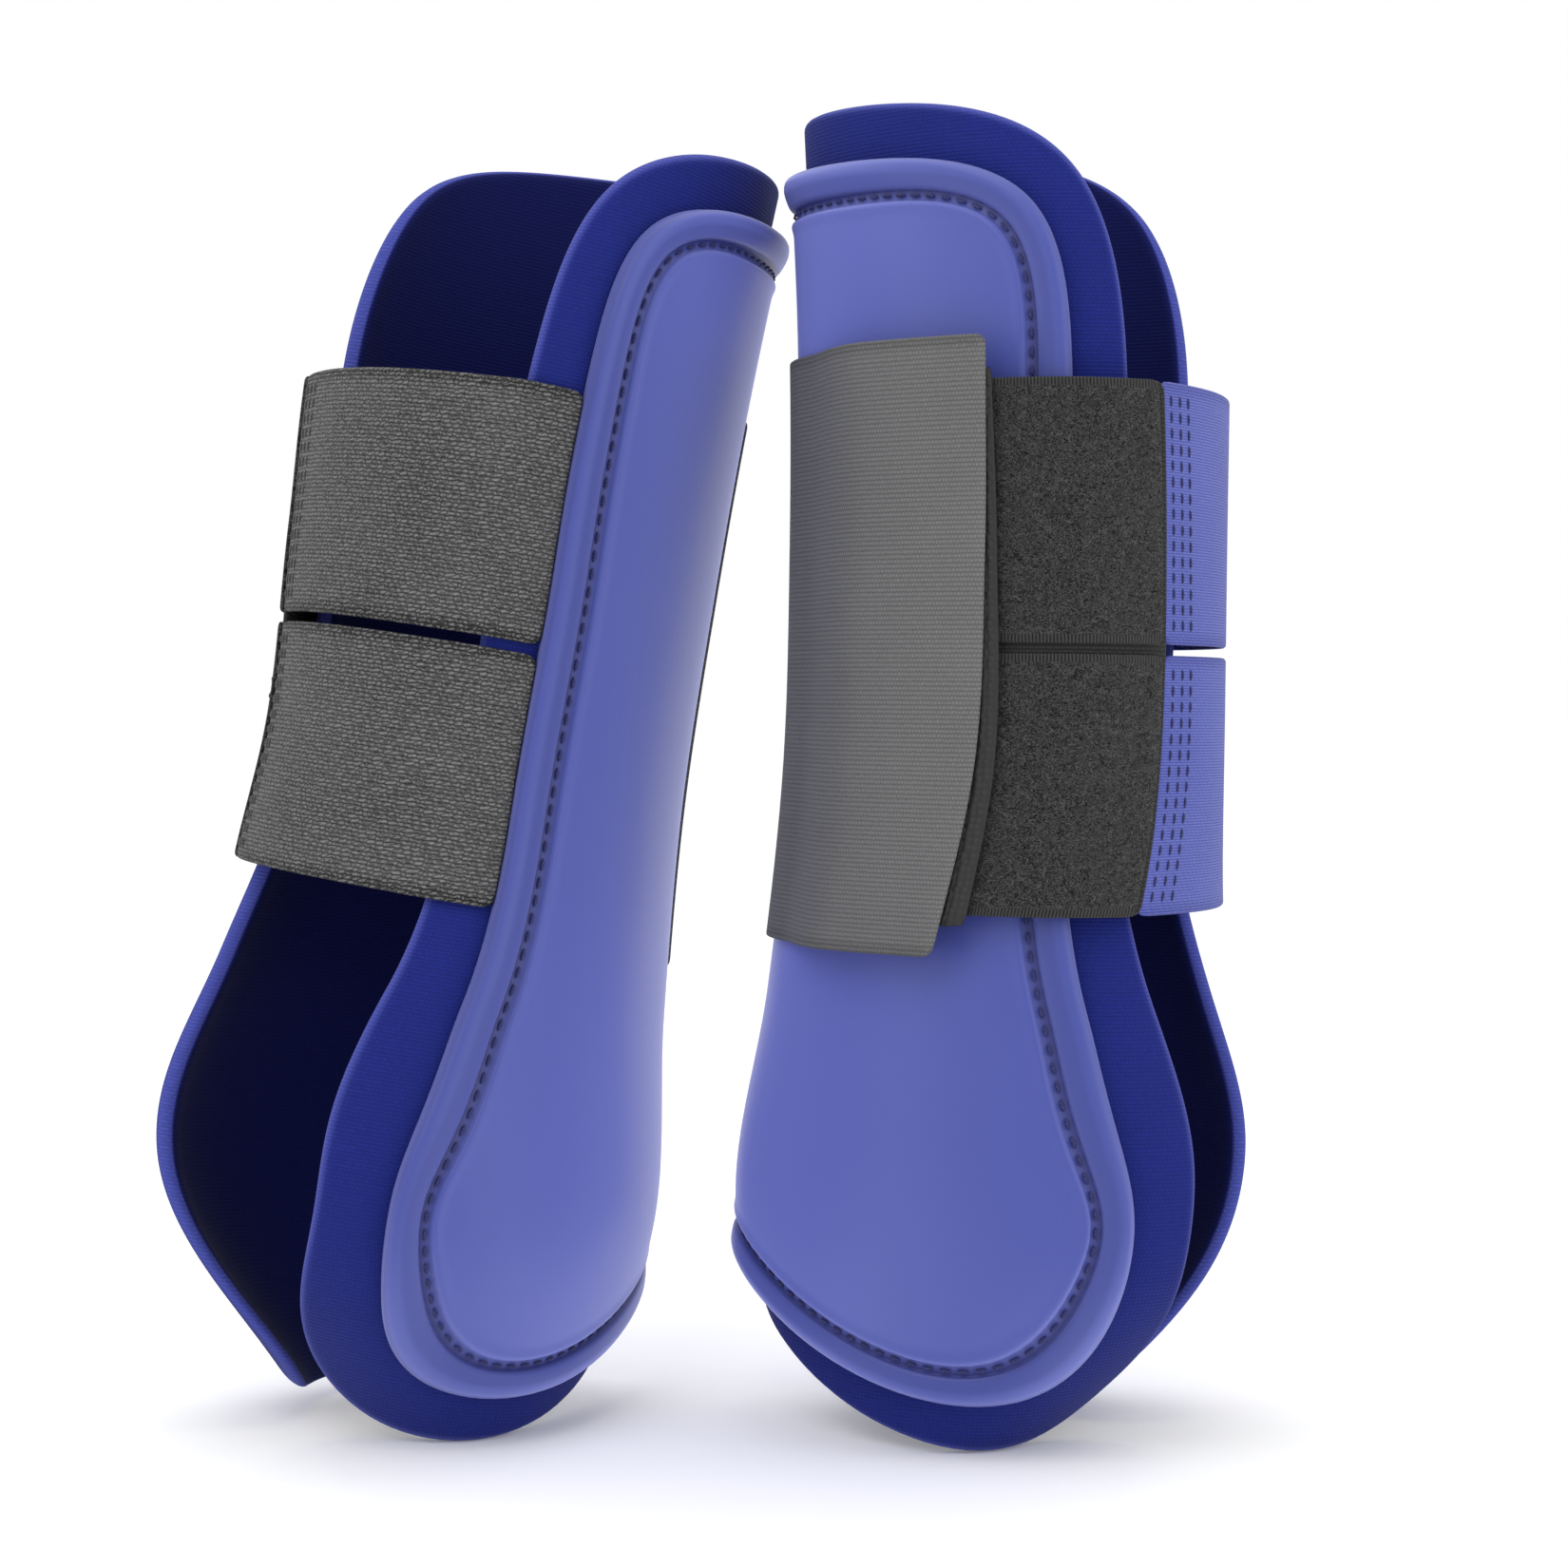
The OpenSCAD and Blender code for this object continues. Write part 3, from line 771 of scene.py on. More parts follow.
class Finishes:
    """The shared node groups and the steps that every material takes."""

    def __init__(self) -> None:
        """Build the groups once."""
        self.weave = weave_group()
        self.mottle = mottle_group()

    def start(self, name: str, rough: float, sheen: float, specular: float
              ) -> tuple[bpy.types.Material, Wiring, bpy.types.Node]:
        """Start a material with its Principled shader's plain values set."""
        material = bpy.data.materials.new(name)
        material.use_nodes = True
        w = Wiring(material.node_tree)
        shader = material.node_tree.nodes["Principled BSDF"]
        shader.inputs["Roughness"].default_value = rough
        shader.inputs["Specular IOR Level"].default_value = specular
        shader.inputs["Sheen Weight"].default_value = sheen
        shader.inputs["Sheen Roughness"].default_value = 0.5
        return material, w, shader

    def use(self, w: Wiring, group: bpy.types.NodeTree, vector: object, **values: float
            ) -> bpy.types.Node:
        """Place a group in a material with its own values; spaces in names are underscores."""
        node = w.add("ShaderNodeGroup", node_tree=group)
        w.feed(node.inputs["Vector"], vector)
        for key, value in values.items():
            node.inputs[key.replace("_", " ")].default_value = value
        return node

    def relief(self, w: Wiring, shader: bpy.types.Node, height: object, depth: float,
               strength: float) -> None:
        """Feed a height through a Bump node into the shader's normal."""
        bump = w.add("ShaderNodeBump")
        bump.inputs["Strength"].default_value = strength
        bump.inputs["Distance"].default_value = depth
        w.feed(bump.inputs["Height"], height)
        w.feed(shader.inputs["Normal"], bump.outputs[0])


@dataclass(frozen=True)
class Moulded:
    """Smooth moulded plastic: an even tone, paled by a painted rim light where it turns away from view
    and darkened by painted shade in the groove and on the rim.
    """

    name: str
    light: Colour
    deep: Colour
    # Colour of the painted rim light at the silhouettes.
    painted_rim_light: Colour
    # Colour of the painted shade in the groove and on the rim.
    painted_shade: Colour
    painted_rim_light_share: float = 0.95
    painted_rim_light_power: float = 1.35
    groove_shade: float = 0.8
    rough: float = 0.42

    def make(self, kit: Finishes) -> bpy.types.Material:
        """Build the material."""
        material, w, shader = kit.start(self.name, self.rough, 0.0, 0.42)
        place = w.add("ShaderNodeTexCoord").outputs["Object"]
        tone = kit.use(
            w, kit.mottle, place, Patch_Scale=14.0, Speckle_Scale=900.0, Speckle_Share=0.25
        )
        body = w.blend(tone.outputs["Tone"], self.deep, self.light)
        # Painted rim light: where the surface turns away from view the colour is mixed towards a pale
        # blue.
        turned = w.add("ShaderNodeLayerWeight").outputs["Facing"]
        painted_rim_light_share = w.maths("MULTIPLY", w.maths("POWER", turned, self.painted_rim_light_power), self.painted_rim_light_share)
        body = w.blend(painted_rim_light_share, body, self.painted_rim_light)
        # Painted shade: the groove mask darkens the colour, most in the groove, less on the rim's
        # walls and least on its crown.
        groove = w.add("ShaderNodeAttribute", attribute_name="groove").outputs["Fac"]
        shade = w.maths("MULTIPLY", groove, self.groove_shade)
        w.feed(shader.inputs["Base Color"], w.blend(shade, body, self.painted_shade))
        rough = w.maths("MULTIPLY_ADD", tone.outputs["Tone"], 0.16, self.rough - 0.08)
        w.feed(shader.inputs["Roughness"], rough)
        kit.relief(w, shader, tone.outputs["Speckle"], 0.00006, 0.35)
        return material


@dataclass(frozen=True)
class KnitFoam:
    """Neoprene faced with fine knit, its cut edge paler and its inner face darkened by painted shade.
    """

    name: str
    face: Colour
    edge: Colour
    # Colour of the painted shade on the inner face.
    inside: Colour
    deepest: float = 0.72
    palest: float = 1.3

    def make(self, kit: Finishes) -> bpy.types.Material:
        """Build the material."""
        material, w, shader = kit.start(self.name, 0.85, 0.04, 0.12)
        flat = w.add("ShaderNodeUVMap", uv_map="UVMap").outputs[0]
        knit = kit.use(
            w, kit.weave, flat, Cord_Pitch=0.75, Weft_Pitch=0.9, Step=0.5, Weft_Share=0.6
        )
        tone = kit.use(w, kit.mottle, flat, Patch_Scale=5.0, Speckle_Scale=90.0, Speckle_Share=0.6)
        deep_face, pale_face = toned(self.face, self.deepest), toned(self.face, self.palest)
        face = w.blend(tone.outputs["Tone"], deep_face, pale_face)
        rim = w.add("ShaderNodeAttribute", attribute_name="cut_edge").outputs["Fac"]
        # Painted shade: the inner face mask mixes the colour towards the dark inside colour.
        deep = w.add("ShaderNodeAttribute", attribute_name="painted_inner_shade").outputs["Fac"]
        colour = w.blend(deep, w.blend(rim, face, self.edge), self.inside)
        shade = w.maths("MULTIPLY_ADD", knit.outputs["Height"], -0.35, 0.3)
        w.feed(shader.inputs["Base Color"], w.blend(shade, colour, (0.0, 0.0, 0.01, 1.0)))
        kit.relief(w, shader, knit.outputs["Height"], 0.00018, 0.6)
        return material


@dataclass(frozen=True)
class Woven:
    """Woven tape or elastic: cords and weft of its own pitch, with a firm selvedge."""

    name: str
    light: Colour
    deep: Colour
    cord: float
    weft: float
    step: float
    weft_share: float
    depth: float
    sheen: float = 0.08
    uneven: float = 0.35
    contrast: float = 0.7

    def make(self, kit: Finishes) -> bpy.types.Material:
        """Build the material."""
        material, w, shader = kit.start(self.name, 0.75, self.sheen, 0.25)
        flat = w.add("ShaderNodeUVMap", uv_map="UVMap").outputs[0]
        weave = kit.use(
            w, kit.weave, flat, Cord_Pitch=self.cord, Weft_Pitch=self.weft, Step=self.step,
            Weft_Share=self.weft_share, Unevenness=self.uneven,
        )
        tone = kit.use(
            w, kit.mottle, flat, Patch_Scale=4.0, Speckle_Scale=120.0, Speckle_Share=0.5
        )
        height = weave.outputs["Height"]
        patchy = w.maths("MULTIPLY", tone.outputs["Tone"], 0.6)
        share = w.maths("MULTIPLY_ADD", height, self.contrast, patchy)
        share = w.maths("SUBTRACT", share, self.contrast * 0.25)
        selvedge = w.add("ShaderNodeAttribute", attribute_name="selvedge").outputs["Fac"]
        share = w.maths("SUBTRACT", share, w.maths("MULTIPLY", selvedge, 0.25))
        held = w.add("ShaderNodeClamp")
        w.feed(held.inputs[0], share)
        w.feed(shader.inputs["Base Color"], w.blend(held.outputs[0], self.deep, self.light))
        kit.relief(w, shader, height, self.depth, 0.9)
        return material


@dataclass(frozen=True)
class Pile:
    """Brushed loop pile: tangled fibre over a dark ground, with ribbed selvedges."""

    name: str
    tip: Colour
    ground: Colour
    edge: Colour

    def make(self, kit: Finishes) -> bpy.types.Material:
        """Build the material."""
        material, w, shader = kit.start(self.name, 0.95, 0.1, 0.1)
        flat = w.add("ShaderNodeUVMap", uv_map="UVMap").outputs[0]
        tangle = w.add("ShaderNodeTexNoise")
        w.feed(tangle.inputs["Vector"], flat)
        tangle.inputs["Scale"].default_value = 175.0
        tangle.inputs["Detail"].default_value = 4.0
        tangle.inputs["Roughness"].default_value = 0.65
        tangle.inputs["Distortion"].default_value = 2.5
        ramp = w.add("ShaderNodeMapRange")
        w.feed(ramp.inputs["Value"], tangle.outputs[0])
        ramp.inputs["From Min"].default_value = 0.47
        ramp.inputs["From Max"].default_value = 0.57
        ribs = kit.use(w, kit.weave, flat, Cord_Pitch=40.0, Weft_Pitch=0.55, Step=0.0,
                       Weft_Share=1.0, Unevenness=0.05)
        edge = w.add("ShaderNodeAttribute", attribute_name="selvedge").outputs["Fac"]
        curls = w.blend(ramp.outputs[0], self.ground, self.tip)
        woven = w.blend(ribs.outputs["Thread"], self.ground, self.edge)
        w.feed(shader.inputs["Base Color"], w.blend(edge, curls, woven))
        kit.relief(w, shader, tangle.outputs[0], 0.0009, 1.0)
        return material


@dataclass(frozen=True)
class Hooks:
    """Moulded hook tape: a field of small hooks on a smooth band."""

    name: str
    tip: Colour
    ground: Colour

    def make(self, kit: Finishes) -> bpy.types.Material:
        """Build the material."""
        material, w, shader = kit.start(self.name, 0.5, 0.0, 0.4)
        flat = w.add("ShaderNodeUVMap", uv_map="UVMap").outputs[0]
        cells = w.add("ShaderNodeTexVoronoi")
        w.feed(cells.inputs["Vector"], flat)
        cells.inputs["Scale"].default_value = 75.0
        cells.inputs["Randomness"].default_value = 0.35
        near = w.maths("SUBTRACT", 1.0, cells.outputs["Distance"])
        w.feed(shader.inputs["Base Color"], w.blend(near, self.ground, self.tip))
        kit.relief(w, shader, near, 0.0005, 0.8)
        return material


@dataclass(frozen=True)
class Thread:
    """Twisted sewing thread, its strands slanting round it."""

    name: str
    light: Colour
    deep: Colour

    def make(self, kit: Finishes) -> bpy.types.Material:
        """Build the material."""
        material, w, shader = kit.start(self.name, 0.6, 0.1, 0.3)
        place = w.add("ShaderNodeTexCoord").outputs["Object"]
        strands = w.add("ShaderNodeTexWave", wave_type="BANDS", bands_direction="DIAGONAL")
        w.feed(strands.inputs["Vector"], place)
        strands.inputs["Scale"].default_value = 900.0
        strands.inputs["Distortion"].default_value = 2.0
        w.feed(shader.inputs["Base Color"], w.blend(strands.outputs["Fac"], self.deep, self.light))
        kit.relief(w, shader, strands.outputs["Fac"], 0.0001, 0.6)
        return material


FINISHES = {
    "shell_plastic": Moulded(
        "shell_satin_blue", light=(0.05, 0.068, 0.315, 1), deep=(0.036, 0.052, 0.265, 1),
        # Pale blue of the painted rim light, then the dark blue of the painted shade in the groove and
        # on the rim.
        painted_rim_light=(0.36, 0.4, 0.95, 1), painted_shade=(0.008, 0.012, 0.11, 1),
    ),
    "lining_neoprene": KnitFoam(
        "lining_knit", face=(0.011, 0.019, 0.175, 1), edge=(0.06, 0.075, 0.36, 1),
        # Dark blue of the painted shade on the inner face.
        inside=(0.004, 0.007, 0.08, 1),
    ),
    "loop_pile": Pile(
        "loop_pile", tip=(0.1, 0.1, 0.1, 1), ground=(0.002, 0.002, 0.002, 1),
        edge=(0.07, 0.07, 0.07, 1),
    ),
    "elastic_grey": Woven(
        "elastic_grey", light=(0.19, 0.19, 0.19, 1), deep=(0.01, 0.01, 0.01, 1), cord=0.85,
        weft=1.3, step=0.28, weft_share=0.75, depth=0.0006, sheen=0.03, uneven=1.1, contrast=1.15,
    ),
    "elastic_blue": Woven(
        "elastic_blue", light=(0.125, 0.15, 0.51, 1), deep=(0.035, 0.048, 0.25, 1), cord=0.55,
        weft=1.3, step=0.3, weft_share=0.3, depth=0.0002,
    ),
    "webbing_grey": Woven(
        "webbing_grey", light=(0.175, 0.175, 0.175, 1), deep=(0.07, 0.07, 0.07, 1), cord=0.9,
        weft=0.62, step=0.5, weft_share=0.6, depth=0.0002,
    ),
    "webbing_black": Woven(
        "webbing_black", light=(0.03, 0.03, 0.03, 1), deep=(0.006, 0.006, 0.006, 1), cord=0.9,
        weft=1.0, step=0.5, weft_share=0.4, depth=0.0003,
    ),
    # Near-black hook tape: partly its own colour, partly painted shadow where it shows past the flap's
    # free edge.
    "hook_tape": Hooks(
        "hook_tape", tip=(0.012, 0.012, 0.012, 1), ground=(0.004, 0.004, 0.004, 1)
    ),
    "thread_navy": Thread(
        "thread_navy", light=(0.03, 0.035, 0.16, 1), deep=(0.008, 0.01, 0.06, 1)
    ),
    "thread_grey": Thread(
        "thread_grey", light=(0.09, 0.09, 0.09, 1), deep=(0.03, 0.03, 0.03, 1)
    ),
}


# ---------------------------------------------------------------- the boots


@dataclass
class Boot:
    """One boot of the pair: its form, cut and layers, where it stands, and its materials."""

    side: Side
    stand: Stand
    materials: dict[str, bpy.types.Material]
    form: LegForm = LegForm()
    cut: Cut = Cut()
    build: Build = Build()

    def __post_init__(self) -> None:
        """Work out the closure's heights and girths, and how far the boot is set down."""
        b, c = self.build, self.cut
        self.closure_z = c.boot_h / 2 + b.closure_rise
        self.top_z = self.closure_z + b.strap_gap / 2 + b.strap_w
        self.low_z = self.closure_z - b.strap_gap / 2 - b.strap_w
        self.flap_edge = b.fold_s + b.flap_len
        self.panel_end = self.flap_edge - b.panel_tuck
        self.seam = float(c.edge_girth(0, np.array(self.closure_z))) + b.seam_lead
        self.lift = 0.0
        rim = c.loop(c.places(90, 90), 0)
        faces = [self.form.skin(rim[:, 0], rim[:, 1], off) for off in (0.0, -b.lining_t)]
        lowest = min(self.row(p)[:, 2].min() for p in faces)
        self.lift = (float(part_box(self.node("lining"))[0][2]) - lowest) / MM

    def node(self, part: str) -> str:
        """Name of one of this boot's nodes."""
        return f"{self.side.value}_{part}"

    def row(self, points: Array) -> Array:
        """Points of this boot in the row frame, in metres."""
        return self.stand.to_row(points.reshape(-1, 3), self.lift)

    def put(self, part: str, surface: Surface, slot: str, body: str | None,
            *nodes: str) -> bpy.types.Object:
        """Make a piece, hide the CAD nodes that it stands for, and hang it on its body.

        Args:
            part: the piece's name, without its side.
            surface: its mesh in the boot's frame.
            slot: the record's material slot, whose finish it wears.
            body: the body it rides on, or None for a piece that rides on none.
            nodes: the CAD nodes it stands for, without their side.

        Returns:
            The finished object.
        """
        placed = Surface(self.row(surface.points), surface.faces, surface.flat, surface.masks)
        piece = placed.to_object(f"{self.node(part)}_skin", self.materials[slot])
        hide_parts(*(self.node(n) for n in nodes))
        if body:
            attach(piece, self.node(body))
        log.info("%s: %d faces", piece.name, len(surface.faces))
        return piece

    def declare(self, piece: bpy.types.Object, sheet: Sheet, hold: Hold, form: SheetForm) -> None:
        """Measure a sheet's length along and across its middle lines on the form; the lengths are not
        used.

        Args:
            piece: the finished object; not used.
            sheet: the rectangle that it was made from.
            hold: how it is held; not used.
            form: the form that it was wrapped onto.
        """
        steps = 200
        middle = np.array([sheet.x_low + sheet.x_high, sheet.z_low + sheet.z_high]) / 2
        up = np.full(steps, sheet.thick / 2)
        x = np.linspace(sheet.x_low, sheet.x_high, steps)
        z = np.linspace(sheet.z_low, sheet.z_high, steps)
        along = form(x, np.full(steps, middle[1]), up)
        across = form(np.full(steps, middle[0]), z, up)
        wide, long = (
            float(np.linalg.norm(np.diff(line, axis=0), axis=1).sum()) for line in (across, along)
        )

    def bend(self, piece: bpy.types.Object, moving: str, girth: float, off: float,
             heights: tuple[float, float], reach: float) -> None:
        """Blend a piece from the boot to a moving body across a hinge line.

        The way across the hinge is worked out square to it, leading away from the boot's back line,
        and is not used.

        Args:
            piece: the finished object.
            moving: the body on the far side of the hinge; not used.
            girth: where the hinge lies round the boot.
            off: the hinge's distance off the lining.
            heights: the hinge's lower and upper ends.
            reach: length of the way worked out across the hinge.
        """
        hinge = self.form.skin(np.full(2, girth), np.array(heights), off)
        low, high = (Vector(end) for end in self.row(hinge))
        out = self.form.skin(np.array(girth), np.array(sum(heights) / 2), np.array([0.0, 1.0]))
        out = Vector(np.diff(self.row(out), axis=0)[0])
        ahead = out.cross(high - low).normalized() * reach * MM
        if girth > 0:
            ahead = -ahead
        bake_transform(piece)

    def edge_rings(self, profile: list[tuple[float, float]], places: Array
                   ) -> tuple[Array, Array]:
        """Rings round the outline, one for each inset and offset of a profile."""
        loops = [self.cut.loop(places, inset) for inset, _ in profile]
        rings = [self.form.skin(p[:, 0], p[:, 1], off) for p, (_, off) in zip(loops, profile)]
        return np.stack(rings), np.concatenate(loops)

    def sink(self, s: Array) -> Array:
        """How far the closure panel has settled towards the lining at girth s."""
        start = self.panel_end + self.build.sink_lead
        return self.build.panel_sink * ease((s - start) / (self.seam - start))


@dataclass
class Part:
    """A sub-assembly of one boot."""

    boot: Boot


@dataclass
class Lining(Part):
    """The padded neoprene lining, which the shell is sewn to and shows a border all round."""

    up: int = 150
    across: int = 96
    edge_steps: int = 9
    fill: float = 0.9

    def make(self) -> None:
        """Join two faces by a half round edge of the lining's own thickness."""
        boot, t = self.boot, self.boot.build.lining_t
        r = t / 2
        places = boot.cut.places(self.up, self.across)
        base = coons(boot.cut.loop(places, r), self.up, self.across)
        turns = np.linspace(0, math.pi, self.edge_steps + 2)[1:-1]
        profile = [(r - r * math.sin(a), -r + r * math.cos(a)) for a in turns]
        rings, ring_flat = boot.edge_rings(profile, places)
        top, under = (boot.form.skin(base[..., 0], base[..., 1], off) for off in (0.0, -t))
        arc = np.repeat(np.sin(turns) ** 2, len(places))
        lower = np.repeat(turns > math.pi * 0.72, len(places)).astype(float)
        # The inner face mask puts painted shade on the inner face and the lower half of the round
        # edge.
        masks = {
            "cut_edge": edge_mask(base, ease(arc * 1.6) * (1 - lower)),
            "painted_inner_shade": edge_mask(base, lower, 1.0),
        }
        surface = closed_surface((top, under), rings, (base, ring_flat), masks)
        piece = boot.put("lining", surface, "lining_neoprene", "boot", "lining")


@dataclass
class MouldedShell(Part):
    """The moulded shell with its lip, groove and round rim, and the stitches in the groove."""

    up: int = 150
    across: int = 96
    lip_w: float = 3.2
    back_off: float = 0.12
    stitch: Stitch = Stitch(pitch=3.6, length=2.6, radius=0.34)

    def __post_init__(self) -> None:
        """Work out the groove's two edges, as insets from the lining's edge."""
        self.groove = self.boot.cut.border_w + self.boot.build.rim_w
        self.field_edge = self.groove + self.boot.build.groove_w

    def profile(self) -> list[tuple[float, float]]:
        """Section across the shell's edge, as inset and offset: lip, groove, rim and wall."""
        b, border = self.boot.build, self.boot.cut.border_w
        floor = b.shell_face - b.groove_d
        height = b.rim_face - floor
        lip = [(2.2, 0.1), (1.4, 0.3), (0.8, 0.34), (0.35, 0.15), (0.1, -0.35)]
        rise = [(0.25, 0.0), (-0.05, 0.3), (-0.35, 0.5), (-0.9, 0.64), (-1.8, 0.78), (-2.9, 0.92),
                (-3.9, 1.0)]
        wall = [(1.6, 0.98), (0.9, 0.89), (0.4, 0.74), (0.1, 0.52), (0.0, 0.28)]
        section = [(self.field_edge + d, b.shell_face + h) for d, h in lip]
        section += [(self.field_edge - 0.15, floor), (self.groove + 0.35, floor)]
        section += [(self.groove + d, floor + height * share) for d, share in rise]
        section += [(border + d, floor + height * share) for d, share in wall]
        return section + [(border, b.bond_gap), (border + 0.6, self.back_off)]

    def darkness(self, inset: Array) -> Array:
        """How much painted shade a ring takes: most in the groove, less on the rim's wall, least on
        its crown.
        """
        b, border = self.boot.build, self.boot.cut.border_w
        from_middle = np.abs(inset - self.groove - b.groove_w / 2 + 0.3)
        painted_shade = ease((1 - from_middle / (b.groove_w / 2 + 0.8)) * 1.4)
        zones = [inset < border + 0.7, inset < border + 3, inset < self.groove - 0.7]
        return np.maximum(painted_shade, np.select(zones, [0.6, 0.12, 0.38], 0.0))

    def shell(self) -> None:
        """The shell: a smooth field with the profile run all the way round it."""
        boot = self.boot
        places = boot.cut.places(self.up, self.across)
        base = coons(boot.cut.loop(places, self.field_edge + self.lip_w), self.up, self.across)
        profile = self.profile()
        rings, ring_flat = boot.edge_rings(profile, places)
        offs = (boot.build.shell_face, self.back_off)
        top, under = (boot.form.skin(base[..., 0], base[..., 1], off) for off in offs)
        # The groove mask holds the painted shade of each ring.
        dark = np.repeat(self.darkness(np.array(profile)[:, 0]), len(places))
        masks = {"groove": edge_mask(base, dark)}
        surface = closed_surface((top, under), rings, (base, ring_flat), masks)
        boot.put("shell", surface, "shell_plastic", "boot", "shell")

    def edge_stitches(self) -> None:
        """The row of stitches that lies in the groove, all the way round."""
        boot, b = self.boot, self.boot.build
        places = np.linspace(0, 2 * boot.cut.half_spans, 1600, endpoint=False)
        line = boot.cut.loop(places, self.groove + b.groove_w / 2)
        low = boot.form.skin(line[:, 0], line[:, 1], b.shell_face - b.groove_d + 0.25)
        out = boot.form.skin(line[:, 0], line[:, 1], b.shell_face + 1.0) - low
        row = self.stitch.row(low, out, closed=True)
        boot.put("edge_stitching", row, "thread_navy", "boot", "edge_stitching")

    def make(self) -> None:
        """Build the shell and its stitches."""
        self.shell()
        self.edge_stitches()


@dataclass
class Closure(Part):
    """Panel, its pile and hook tapes, and the loop patch that it grips on the shell."""

    seam_lap: float = 1.2
    panel_lift: float = 0.15
    tape_inset: float = 0.3
    tape_crown: float = 0.22
    patch_lift: float = 0.1
    patch_crown: float = 0.15
    seeds: tuple[int, int, int] = (3, 5, 9)

    def lay(self, part: str, sheet: Sheet, slot: str, body: str, low: float, settles: bool = False,
            crown: float = 0.0, seed: int | None = None) -> None:
        """Lay a tape or panel along the boot.

        Args:
            part: the piece's name, without its side.
            sheet: the rectangle that it is cut to.
            slot: the record's material slot.
            body: the body it rides on.
            low: height of its inner face off the lining.
            settles: whether it sinks towards the lining at the seam, as the panel does.
            crown: height of its pile.
            seed: start of the pile's random draw.
        """
        boot = self.boot

        def form(s: Array, z: Array, up: Array) -> Array:
            """Point at girth s and height z, risen off the sheet's inner face."""
            return boot.form.skin(s, z, low - (boot.sink(s) if settles else 0.0) + up)

        piece = boot.put(part, sheet.surface(form, crown, seed), slot, body, part)
        boot.declare(piece, sheet, Hold.LAID, form)

    def make(self) -> None:
        """Lay the panel, then its tapes, then the patch on the shell."""
        boot, b, c = self.boot, self.boot.build, self.boot.cut
        end, seam, margin = boot.panel_end, boot.seam, b.tape_margin
        panel = Sheet(end, seam + self.seam_lap, boot.low_z, boot.top_z, b.web_t, 2.0, 1.5)
        self.lay("closure_panel", panel, "webbing_black", "strap", b.panel_low + self.panel_lift, True)
        for part, low, seed in (
            ("upper_loop_tape", boot.closure_z + b.strap_gap / 2, self.seeds[0]),
            ("lower_loop_tape", boot.low_z, self.seeds[1]),
        ):
            start, stop = end + self.tape_inset, seam - self.tape_inset
            tape = Sheet(start, stop, low, low + b.strap_w, b.pile_t, 1.5, 0.55)
            self.lay(part, tape, "loop_pile", "strap", b.pile_low, True, self.tape_crown, seed)
        rim = float(c.edge_girth(c.border_w + b.rim_w, np.array(boot.closure_z)))
        low, high = boot.low_z + margin, boot.top_z - margin
        hook = Sheet(end + margin, rim, low, high, b.hook_t, 1.5)
        self.lay("panel_hook_tape", hook, "hook_tape", "strap", b.panel_hook_low)
        patch = Sheet(end, rim - margin - b.groove_w, low, high, b.hook_t, 1.5, 0.8)
        self.lay("shell_loop_patch", patch, "loop_pile", "boot", b.shell_face + self.patch_lift,
                 False, self.patch_crown, self.seeds[2])


